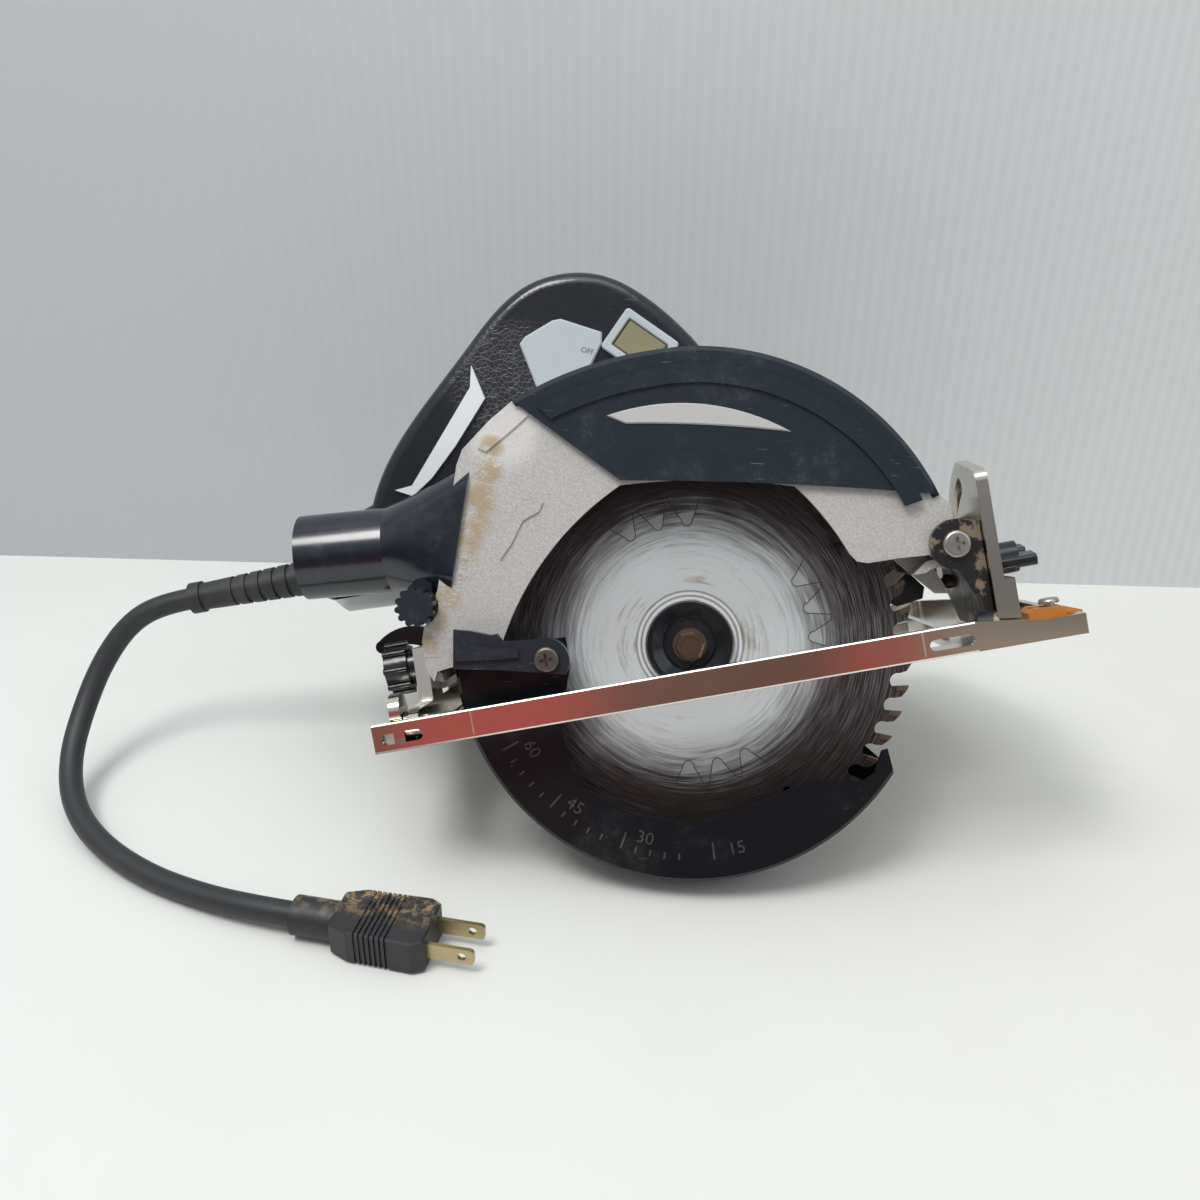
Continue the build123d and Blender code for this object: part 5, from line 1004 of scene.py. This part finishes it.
def lettering(words: str, size: float, depth: float, seat: Matrix) -> bmesh.types.BMesh:
    """Makes raised letters.

    Args:
        words: what they say.
        size: the letters' height, in millimetres.
        depth: half the letters' thickness, in millimetres.
        seat: matrix from the text's own plane, in millimetres, to the row frame.

    Returns:
        The letters' bmesh in the row frame.
    """
    text = bpy.data.curves.new("lettering", "FONT")
    text.body = words
    text.size = size
    text.extrude = depth
    text.resolution_u = 3
    text.align_x = "CENTER"
    text.align_y = "CENTER"
    holder = placed("lettering", text)
    bpy.context.view_layer.update()
    flat = bpy.data.meshes.new_from_object(holder)
    solid = bmesh.new()
    solid.from_mesh(flat)
    bmesh.ops.transform(solid, matrix=seat, verts=solid.verts)
    bmesh.ops.recalc_face_normals(solid, faces=solid.faces)
    bpy.data.objects.remove(holder)
    bpy.data.curves.remove(text)
    bpy.data.meshes.remove(flat)
    return solid


def seat_on_face(axes: SawAxes, x: float, y: float, z: float, turn: float) -> Matrix:
    """Lays text on a face that looks to -Y.

    Args:
        axes: the saw's axes.
        x: X of the text's middle, in millimetres.
        y: its Y.
        z: its Z.
        turn: how far the text is turned, in degrees.

    Returns:
        The matrix from the text's own plane to the row frame.
    """
    upright = Matrix.Rotation(math.radians(90), 4, "X")
    turned = Matrix.Rotation(math.radians(turn), 4, "Z")
    return axes.matrix() @ Matrix.Translation((x, y, z)) @ upright @ turned


def around(radius: float, degrees: float) -> Pair:
    """Returns X and Z of a point at a distance from the spindle."""
    angle = math.radians(degrees)
    return (radius * math.cos(angle), radius * math.sin(angle))


# ---- Sub-assemblies ---------------------------------------------------------------------------------


@dataclass
class DepthScale:
    """Numbers and strokes of the cutting depth on the lower guard."""

    axes: SawAxes
    material: bpy.types.Material
    numbers: tuple[tuple[str, float, float], ...] = (
        ("60", 69.4, 203.0), ("45", 72.6, 224.3), ("30", 72.6, 246.8), ("15", 75.9, 273.0),
    )
    number_size: float = 6.6
    number_depth: float = 0.25
    number_lift: float = 0.1
    long_strokes: tuple[float, ...] = (199.0, 219.0, 241.0, 266.5)
    long_length: float = 6.5
    short_length: float = 2.4
    short_step: float = 4.0
    short_count: int = 4
    stroke_half: float = 0.35
    stroke_height: float = 0.35
    radius: float = 78.8

    def stroke(self, degrees: float, length: float) -> bmesh.types.BMesh:
        """Raises one stroke that points to the spindle.

        Args:
            degrees: where on the guard the stroke is.
            length: how long it is, in millimetres.

        Returns:
            The stroke's bmesh.
        """
        along = Vector(around(1.0, degrees))
        across = Vector((-along.y, along.x)) * self.stroke_half
        near = along * (self.radius - length)
        far = along * self.radius
        corners = [near - across, far - across, far + across, near + across]
        return panel(self.axes, [tuple(corner) for corner in corners], GUARD_FRONT, self.stroke_height)

    def number(self, words: str, radius: float, degrees: float) -> bmesh.types.BMesh:
        """Raises one number that stands upright to the spindle.

        Args:
            words: the number.
            radius: how far from the spindle it is, in millimetres.
            degrees: where on the guard it is.

        Returns:
            The number's bmesh.
        """
        x, z = around(radius, degrees)
        seat = seat_on_face(self.axes, x, GUARD_FRONT - self.number_lift, z, degrees - 270)
        return lettering(words, self.number_size, self.number_depth, seat)

    def build(self) -> list[bpy.types.Object]:
        """Builds the scale.

        Returns:
            The scale, riding on the guard.
        """
        solids = [self.stroke(at, self.long_length) for at in self.long_strokes]
        for start in self.long_strokes[:-1]:
            for step in range(1, self.short_count + 1):
                solids.append(self.stroke(start + self.short_step * step, self.short_length))
        solids.extend(self.number(*number) for number in self.numbers)
        scale = merged("depth_scale", solids, self.material)
        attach(scale, "guard")
        return [scale]


@dataclass
class SwitchMark:
    """The word beside the lamp's switch."""

    axes: SawAxes
    ink: bpy.types.Material
    place: Triple = (-19.5, HANDLE_RIGHT - 1.8, 118.2)
    turn: float = -26
    size: float = 3.0
    depth: float = 0.12

    def build(self) -> list[bpy.types.Object]:
        """Builds the word.

        Returns:
            The word, riding on the frame.
        """
        seat = seat_on_face(self.axes, *self.place, self.turn)
        word = merged("switch_word", [lettering("OFF", self.size, self.depth, seat)], self.ink)
        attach(word, "frame")
        return [word]


@dataclass
class BladePrint:
    """Printed outlines of three teeth, with pale gullets, at three places of the blade's face.

    Each point of a tooth is a pair of a length along the circle and a height, in millimetres.
    """

    axes: SawAxes
    line: bpy.types.Material
    fill: bpy.types.Material
    face: float = -0.60
    radius: float = 48.0
    places: tuple[float, ...] = (115.0, 27.0, 293.0)
    teeth: int = 3
    pitch: float = 11.4
    front: tuple[Pair, ...] = ((0.0, 5.0), (3.2, -1.5))
    back: tuple[Pair, ...] = ((7.8, -1.0), (9.6, 5.6))
    hollow: Pair = (5.4, -1.5)
    line_reach: Pair = (2.2, 2.4)
    line_half: float = 0.16
    line_height: float = 0.05
    fill_reach: Pair = (2.1, 2.3)
    fill_top: tuple[Pair, ...] = ((8.4, 1.6), (2.2, 0.8))
    fill_height: float = 0.03
    arc_step: int = 30

    def arc(self, reach: Pair, steps: range) -> list[Pair]:
        """Draws the round bottom between two teeth.

        Args:
            reach: half the bottom's width and its depth.
            steps: which points of the half round are drawn.

        Returns:
            The points.
        """
        turns = [math.radians(self.arc_step * step) for step in steps]
        along, height = self.hollow
        return [(along - reach[0] * math.cos(turn), height - reach[1] * math.sin(turn)) for turn in turns]

    def outline(self) -> list[Pair]:
        """Draws the outline of all the teeth.

        Returns:
            Its points.
        """
        tooth = [*self.front, *self.arc(self.line_reach, range(1, 6)), *self.back]
        starts = [count * self.pitch for count in range(self.teeth)]
        return [(start + along, height) for start in starts for along, height in tooth]

    def gullet(self, count: int) -> list[Pair]:
        """Returns the pale part between two teeth."""
        edge = [*self.arc(self.fill_reach, range(7)), *self.fill_top]
        return [(along + count * self.pitch, height) for along, height in edge]

    def bend(self, at: float, pair: Pair) -> Pair:
        """Lays a point of the outline on the blade.

        Args:
            at: where the first tooth starts, in degrees; the teeth follow clockwise.
            pair: the point.

        Returns:
            Its X and Z.
        """
        return around(self.radius + pair[1], at - math.degrees(pair[0] / self.radius))

    def strip(self, first: Vector, last: Vector) -> bmesh.types.BMesh:
        """Raises one straight piece of the line.

        Args:
            first: X and Z of its start.
            last: X and Z of its end.

        Returns:
            The piece's bmesh.
        """
        side = (last - first).orthogonal().normalized() * self.line_half
        corners = [first - side, last - side, last + side, first + side]
        return panel(self.axes, [tuple(corner) for corner in corners], self.face, self.line_height)

    def build(self) -> list[bpy.types.Object]:
        """Builds the print.

        Returns:
            The lines and the fills, riding on the blade.
        """
        lines = []
        fills = []
        for at in self.places:
            corners = [Vector(self.bend(at, pair)) for pair in self.outline()]
            lines.extend(self.strip(first, last) for first, last in zip(corners, corners[1:]))
            for count in range(self.teeth):
                edge = [self.bend(at, pair) for pair in self.gullet(count)]
                fills.append(panel(self.axes, edge, self.face, self.fill_height))
        made = [merged("blade_print", lines, self.line), merged("blade_print_fill", fills, self.fill)]
        for thing in made:
            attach(thing, "blade_assembly")
        return made


@dataclass
class RimWearAndHighlight:
    """Bright edges and two gauge strokes on the right rim of the base; the edges are partly worn bare metal
    and partly a painted highlight of the rim's chamfers.
    """

    axes: SawAxes
    material: bpy.types.Material
    face: float = -34.0
    bottom: float = -16.5
    top: float = -6.1
    rear: float = -115.8
    taper: float = 97.0
    width: float = 0.55
    sink: float = 0.05
    lift: float = 0.35
    strokes: Pair = (-79.9, 79.0)
    stroke_half: float = 0.3
    stroke_gaps: Pair = (1.2, 0.8)
    stroke_height: float = 0.15

    def edge(self, height: float, side: int) -> bmesh.types.BMesh:
        """Draws a low wedge along an edge of the rim.

        Args:
            height: where the edge is.
            side: 1 for an edge that catches the light from above, -1 for one from below.

        Returns:
            The wedge's bmesh.
        """
        inward = height - side * self.width
        profile = (
            (self.face + self.sink, height), (self.face - self.lift, inward), (self.face + self.sink, inward),
        )
        corners = [self.axes.point(self.rear, y, z) for y, z in profile]
        return prism(corners, self.axes.ahead * ((self.taper - self.rear) * MM))

    def stroke(self, x: float) -> bmesh.types.BMesh:
        """Raises one gauge stroke across the rim.

        Args:
            x: where it is.

        Returns:
            The stroke's bmesh.
        """
        low, high = self.bottom + self.stroke_gaps[0], self.top - self.stroke_gaps[1]
        left, right = x - self.stroke_half, x + self.stroke_half
        corners = [(left, low), (right, low), (right, high), (left, high)]
        return panel(self.axes, corners, self.face, self.stroke_height)

    def build(self) -> list[bpy.types.Object]:
        """Builds the bright edges, partly worn metal and partly a painted highlight.

        Returns:
            The edges and strokes as one piece, riding on the base.
        """
        solids = [self.edge(self.top, 1), self.edge(self.bottom, -1)]
        solids.extend(self.stroke(x) for x in self.strokes)
        rim_marks = merged("rim_wear", solids, self.material)
        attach(rim_marks, "base")
        return [rim_marks]


@dataclass
class CaseRelief:
    """Low shapes cast on the right face of the case."""

    axes: SawAxes
    material: bpy.types.Material
    height: float = 0.8
    outlines: tuple[tuple[Pair, ...], ...] = (
        ((-62.2, 84.5), (-52.9, 91.1), (-44.0, 95.6), (-40.7, 93.5), (-48.9, 88.5), (-59.6, 82.6)),
        (
            (-61.7, 43.5), (-60.2, 48.5), (-57.0, 55.0), (-51.3, 61.0), (-42.6, 61.2), (-44.6, 58.2),
            (-51.0, 56.0), (-56.5, 48.6),
        ),
    )

    def build(self) -> list[bpy.types.Object]:
        """Builds the relief.

        Returns:
            The relief, riding on the frame.
        """
        solids = [panel(self.axes, list(outline), CASE_FRONT, self.height) for outline in self.outlines]
        relief = merged("case_relief", solids, self.material)
        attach(relief, "frame")
        return [relief]


@dataclass
class PowerCord:
    """The cord on its whole route, from the guard of the handle to the plug."""

    material: bpy.types.Material
    length: float = 0.2388
    route: tuple[Triple, ...] = (
        (-0.17164, -0.01741, 0.07148), (-0.18536, -0.01741, 0.06869), (-0.1995, -0.0194, 0.0606),
        (-0.2108, -0.0260, 0.0460), (-0.2172, -0.0385, 0.0305), (-0.2190, -0.0560, 0.0175),
        (-0.2123, -0.0760, 0.0093), (-0.1966, -0.0963, 0.0062), (-0.1720, -0.1150, 0.0049),
        (-0.1474, -0.1274, 0.0054), (-0.12460, -0.13653, 0.0074), (-0.1090, -0.1401, 0.0074),
    )

    def curve(self) -> bpy.types.Curve:
        """Draws the round cord along its route.

        Returns:
            The cord's curve.
        """
        curve = bpy.data.curves.new("cord", "CURVE")
        curve.dimensions = "3D"
        curve.bevel_depth = CORD_D / 2 * MM
        curve.bevel_resolution = 8
        curve.resolution_u = 12
        curve.use_fill_caps = True
        line = curve.splines.new("NURBS")
        line.points.add(len(self.route) - 1)
        for point, place in zip(line.points, self.route):
            point.co = (*place, 1.0)
        line.order_u = 3
        line.use_endpoint_u = True
        curve.materials.append(self.material)
        return curve

    def build(self, frame: dict) -> list[bpy.types.Object]:
        """Builds the cord.

        Args:
            frame: the loaded frame; not used.

        Returns:
            The cord, riding on the frame.
        """
        made = placed("cord", self.curve())
        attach(made, "frame")
        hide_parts("power_cord")
        return [made]


@dataclass
class Dressing:
    """Gives every CAD node its finish: the one under its own name, or else its slot's."""

    frame: dict
    finishes: dict[str, Finish]

    def build(self, effects: Effects) -> dict[str, bpy.types.Material]:
        """Builds each finish once and puts it on its nodes.

        Args:
            effects: the shared shader groups.

        Returns:
            The materials by name.
        """
        made = {name: finish.build(effects) for name, finish in self.finishes.items()}
        for part in self.frame["record"]["subparts"]:
            name = part["node"]
            node = self.frame["nodes"][name]
            material = made[name if name in made else part["material_slot"]]
            node.data.materials.clear()
            node.data.materials.append(material)
            LOG.info("%s is dressed in %s", name, material.name)
        return made


def all_finishes(axes: SawAxes) -> dict[str, Finish]:
    """Lists the finishes: one for each material slot, and those of single nodes and marks.

    Args:
        axes: the saw's axes.

    Returns:
        The finishes by name.
    """
    finishes = (
        CastPaint("case_paint", axes),
        Plastic("cover_black", (0.018, 0.024, 0.033), (0.16, 0.18, 0.20), 0.28, 0.22, 0.7, gloss=0.35),
        Plastic("guard_black", (0.008, 0.010, 0.013), (0.11, 0.11, 0.11), 0.22, 0.20, 0.6, gloss=0.22),
        Plastic("dust_nozzle", (0.006, 0.009, 0.017), (0.12, 0.11, 0.10), 0.25, 0.18, 0.7, gloss=0.75),
        Plastic("inlay", (0.47, 0.47, 0.46), (0.30, 0.29, 0.28), 0.3, 0.45, 0.3),
        Crackle("handle_black", axes),
        Plastic("white_plastic", (0.74, 0.77, 0.79), (0.42, 0.38, 0.32), 0.22, 0.34, 0.25),
        Plastic("panel_silver", (0.50, 0.55, 0.58), (0.36, 0.32, 0.27), 0.22, 0.34, 0.2),
        Plastic("lens_khaki", (0.27, 0.25, 0.15), (0.42, 0.39, 0.26), 0.35, 0.2, 0.1),
        Plastic("button_red", (0.35, 0.03, 0.02)),
        Metal("gear_case", (0.50, 0.50, 0.50), roughness=0.5, tarnish_share=0.2),
        BladeSteel("blade_steel"),
        Metal("carbide", (0.20, 0.15, 0.11), roughness=0.42, tarnish_share=0.5),
        Metal("nickel", (0.72, 0.67, 0.60), roughness=0.13, tarnish_share=0.30),
        WornPaint("front_bracket"),
        Metal("steel", (0.46, 0.44, 0.41), (0.16, 0.11, 0.07), 0.5, 0.34),
        Metal("guard_lever_screw", (0.17, 0.155, 0.14), (0.09, 0.07, 0.05), 0.5, 0.42),
        TwoRings("outer_flange", 0.0158, BLACK, (0.45, 0.44, 0.42), 0.0, 0.9, 0.12),
        TwoRings("blade_bolt", 0.0060, (0.24, 0.17, 0.12), BLACK, 0.9, 0.0, 0.26),
        Metal("laminations", (0.20, 0.19, 0.19), roughness=0.5),
        Metal("copper", (0.72, 0.38, 0.20), roughness=0.3),
        Plastic("carbon", (0.04, 0.04, 0.04)),
        Plastic("fan_plastic", (0.10, 0.10, 0.11)),
        Plastic("orange_plastic", (0.50, 0.18, 0.03), (0.26, 0.14, 0.07), 0.4, 0.32, 0.2),
        Plastic("rubber", (0.026, 0.028, 0.031), (0.20, 0.18, 0.15), 0.30, 0.5, 0.2, 700.0, 0.00006),
        GluedRubber("plug_body"),
        Metal("pin_brass", (0.50, 0.41, 0.24), roughness=0.34, tarnish_share=0.6),
        # Paler than the nickel: partly worn bare metal, partly a painted highlight along the base's rim edges
        Metal("bare_edge", (0.86, 0.82, 0.76), roughness=0.3, tarnish_share=0.35),
        # Paler than the black guard: partly wear, partly a painted highlight on the raised numbers and
        # strokes
        Plastic("mark_worn", (0.055, 0.052, 0.050), (0.16, 0.14, 0.12), 0.6, 0.25, 0.7),
        Plastic("ink_grey", (0.16, 0.17, 0.18), roughness=0.5),
        Plastic("print_dark", (0.030, 0.025, 0.025), roughness=0.45),
        Plastic("print_pale", (0.34, 0.35, 0.36), (0.20, 0.18, 0.17), 0.5, 0.4),
    )
    return {finish.name: finish for finish in finishes}


# ---- Surroundings -----------------------------------------------------------------------------------


def limit_rays(thing: bpy.types.Object, layer: Layer) -> None:
    """Sets which rays see a staged surface, which throws no shadow.

    Args:
        thing: the surface.
        layer: the rays that see it.
    """
    thing.visible_shadow = False
    if layer is Layer.MIRRORED:
        thing.visible_camera = False
        thing.visible_diffuse = False
        thing.visible_transmission = False


@dataclass(frozen=True)
class Lamp:
    """A round area light that looks at the middle of the saw."""

    name: str
    place: Vector
    size: float
    power: float
    colour: Colour = (1.0, 1.0, 1.0)

    def build(self) -> bpy.types.Object:
        """Builds the light.

        Returns:
            The light.
        """
        data = bpy.data.lights.new(self.name, "AREA")
        data.shape = "DISK"
        data.size = self.size
        data.energy = self.power
        data.color = self.colour
        made = placed(self.name, data)
        made.location = self.place
        made.rotation_euler = (LAMP_AIM - self.place).to_track_quat("-Z", "Y").to_euler()
        return made


@dataclass(frozen=True)
class Card:
    """A glowing card behind the camera, seen by mirrored rays only, with soft bands along X.

    It stands for the red and brown clothes of whoever holds the camera.
    """

    name: str = "mirrored_clothes"
    bands: tuple[tuple[float, Colour], ...] = (
        (-0.34, (0.10, 0.08, 0.07)), (-0.225, (0.16, 0.11, 0.08)), (-0.190, (0.47, 0.11, 0.10)),
        (-0.085, (0.47, 0.11, 0.10)), (-0.040, (0.20, 0.11, 0.09)), (0.085, (0.16, 0.09, 0.07)),
        (0.115, (0.38, 0.10, 0.08)), (0.150, (0.38, 0.11, 0.09)), (0.180, (0.34, 0.29, 0.23)),
        (0.34, (0.38, 0.34, 0.27)),
    )
    low: float = 0.05
    high: float = 0.25
    behind: float = 0.03

    def material(self) -> bpy.types.Material:
        """Makes the card's glow.

        Returns:
            A material that blends the bands along X.
        """
        left = self.bands[0][0]
        width = self.bands[-1][0] - left
        material = bpy.data.materials.new(self.name)
        material.use_nodes = True
        graph = Graph(material.node_tree)
        material.node_tree.nodes.clear()
        along = graph.parts(graph.add("ShaderNodeTexCoord").outputs["Object"])[0]
        blend = graph.add("ShaderNodeValToRGB")
        graph.join(graph.math("DIVIDE", graph.math("SUBTRACT", along, left), width), blend.inputs[0])
        stops = blend.color_ramp.elements
        for place, colour in self.bands[1:-1]:
            stops.new((place - left) / width).color = (*colour, 1.0)
        stops[0].color = (*self.bands[0][1], 1.0)
        stops[len(stops) - 1].color = (*self.bands[-1][1], 1.0)
        glow = graph.add("ShaderNodeEmission")
        graph.join(blend.outputs[0], glow.inputs["Color"])
        output = graph.add("ShaderNodeOutputMaterial")
        graph.join(glow.outputs[0], output.inputs[0])
        return material

    def build(self) -> bpy.types.Object:
        """Builds the card.

        Returns:
            The card.
        """
        left, right = self.bands[0][0], self.bands[-1][0]
        y = CAMERA_PLACE.y - self.behind
        places = ((left, self.low), (right, self.low), (right, self.high), (left, self.high))
        made = merged(self.name, [sheet([Vector((x, y, z)) for x, z in places])], self.material())
        limit_rays(made, Layer.MIRRORED)
        return made


@dataclass
class Surroundings:
    """Camera, lights, floor, wall and the mirrored card."""

    effects: Effects
    lens: float = 36.0
    sensor: float = 36.0
    floor_reach: float = 3.0
    wall_reach: float = 2.0
    wall_height: float = 3.0
    # The floor and the wall darken to the left by painted shade, the wall much more; the wall's ribs are
    # painted shade too
    floor_finish: Surface = Surface("floor", (0.74, 0.735, 0.69), (0.71, 0.73, 0.70), (0.60, 0.58, 0.52))
    wall_finish: Surface = Surface("wall", (0.72, 0.745, 0.75), (0.51, 0.53, 0.55), (0.50, 0.52, 0.54), 48.0)
    lamps: tuple[Lamp, ...] = (
        Lamp("key", Vector((-0.55, -0.55, 1.45)), 0.6, 11.6, (1.0, 0.985, 0.96)),
        Lamp("ceiling", Vector((-0.15, -0.30, 2.00)), 1.5, 10.4, (0.97, 0.99, 1.0)),
        Lamp("fill", Vector((0.9, -0.9, 0.9)), 1.0, 2.0, (0.94, 0.97, 1.0)),
    )
    room_zone: Pair = (-0.25, 0.75)
    room_lean: float = 0.35
    room_dark: Colour = (0.06, 0.055, 0.055)
    room_bright: Colour = (0.80, 0.83, 0.88)
    room_strength: float = 0.85

    def camera(self) -> bpy.types.Object:
        """Builds the scene's camera.

        Returns:
            The camera.
        """
        data = bpy.data.cameras.new("camera")
        data.lens = self.lens
        data.sensor_width = self.sensor
        data.clip_start = 0.01
        made = placed("camera", data)
        right = CAMERA_AHEAD.cross(CAMERA_UP).normalized()
        up = right.cross(CAMERA_AHEAD).normalized()
        turn = Matrix((right, up, -CAMERA_AHEAD.normalized())).transposed().to_4x4()
        made.matrix_world = Matrix.Translation(CAMERA_PLACE) @ turn
        bpy.context.scene.camera = made
        return made

    def floor(self) -> bpy.types.Object:
        """Builds the floor.

        Returns:
            The floor.
        """
        reach = self.floor_reach
        corners = [Vector((x * reach, y * reach, 0)) for x, y in ((-1, -1), (1, -1), (1, 1), (-1, 1))]
        return merged("floor", [sheet(corners)], self.floor_finish.build(self.effects))

    def wall(self) -> bpy.types.Object:
        """Builds the ribbed wall behind the saw.

        Returns:
            The wall, which is seen only from its front.
        """
        along = (WALL_RIGHT - WALL_LEFT).normalized() * self.wall_reach
        left = WALL_LEFT - along
        right = WALL_RIGHT + along
        rise = Vector((0, 0, self.wall_height))
        material = self.wall_finish.build(self.effects)
        one_sided(material)
        made = merged("wall", [sheet([left, right, right + rise, left + rise])], material)
        limit_rays(made, Layer.ALL)
        return made

    def room_light(self) -> None:
        """Lights the scene from all sides, brighter from above and behind."""
        world = bpy.data.worlds.new("room")
        world.use_nodes = True
        graph = Graph(world.node_tree)
        back = world.node_tree.nodes["Background"]
        way = graph.parts(graph.add("ShaderNodeTexCoord").outputs["Generated"])
        raised = graph.math("ADD", way[2], graph.math("MULTIPLY", way[1], self.room_lean))
        lit = graph.ramp(raised, *self.room_zone)
        graph.join(graph.mix(lit, self.room_dark, self.room_bright), back.inputs["Color"])
        back.inputs["Strength"].default_value = self.room_strength
        bpy.context.scene.world = world

    def build(self) -> list[bpy.types.Object]:
        """Builds everything that isn't the saw.

        Returns:
            The camera and the lights.
        """
        made = [self.camera(), *(lamp.build() for lamp in self.lamps)]
        self.room_light()
        self.floor()
        self.wall()
        Card().build()
        bpy.context.scene.view_settings.view_transform = "Standard"
        return made


def report(pieces: list[bpy.types.Object]) -> None:
    """Names new pieces in the log."""
    for piece in pieces:
        LOG.info("%s is built", piece.name)


def main() -> None:
    """Builds the scene in order."""
    logging.basicConfig(level=logging.INFO)
    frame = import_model()
    axes = SawAxes.read(frame["joints"])
    effects = Effects(axes)
    report(Surroundings(effects).build())
    materials = Dressing(frame, all_finishes(axes)).build(effects)
    report(PowerCord(materials["rubber"]).build(frame))
    report(DepthScale(axes, materials["mark_worn"]).build())
    report(SwitchMark(axes, materials["ink_grey"]).build())
    report(BladePrint(axes, materials["print_dark"], materials["print_pale"]).build())
    report(CaseRelief(axes, materials["case_paint"]).build())
    report(RimWearAndHighlight(axes, materials["bare_edge"]).build())


if __name__ == "__main__":
    main()
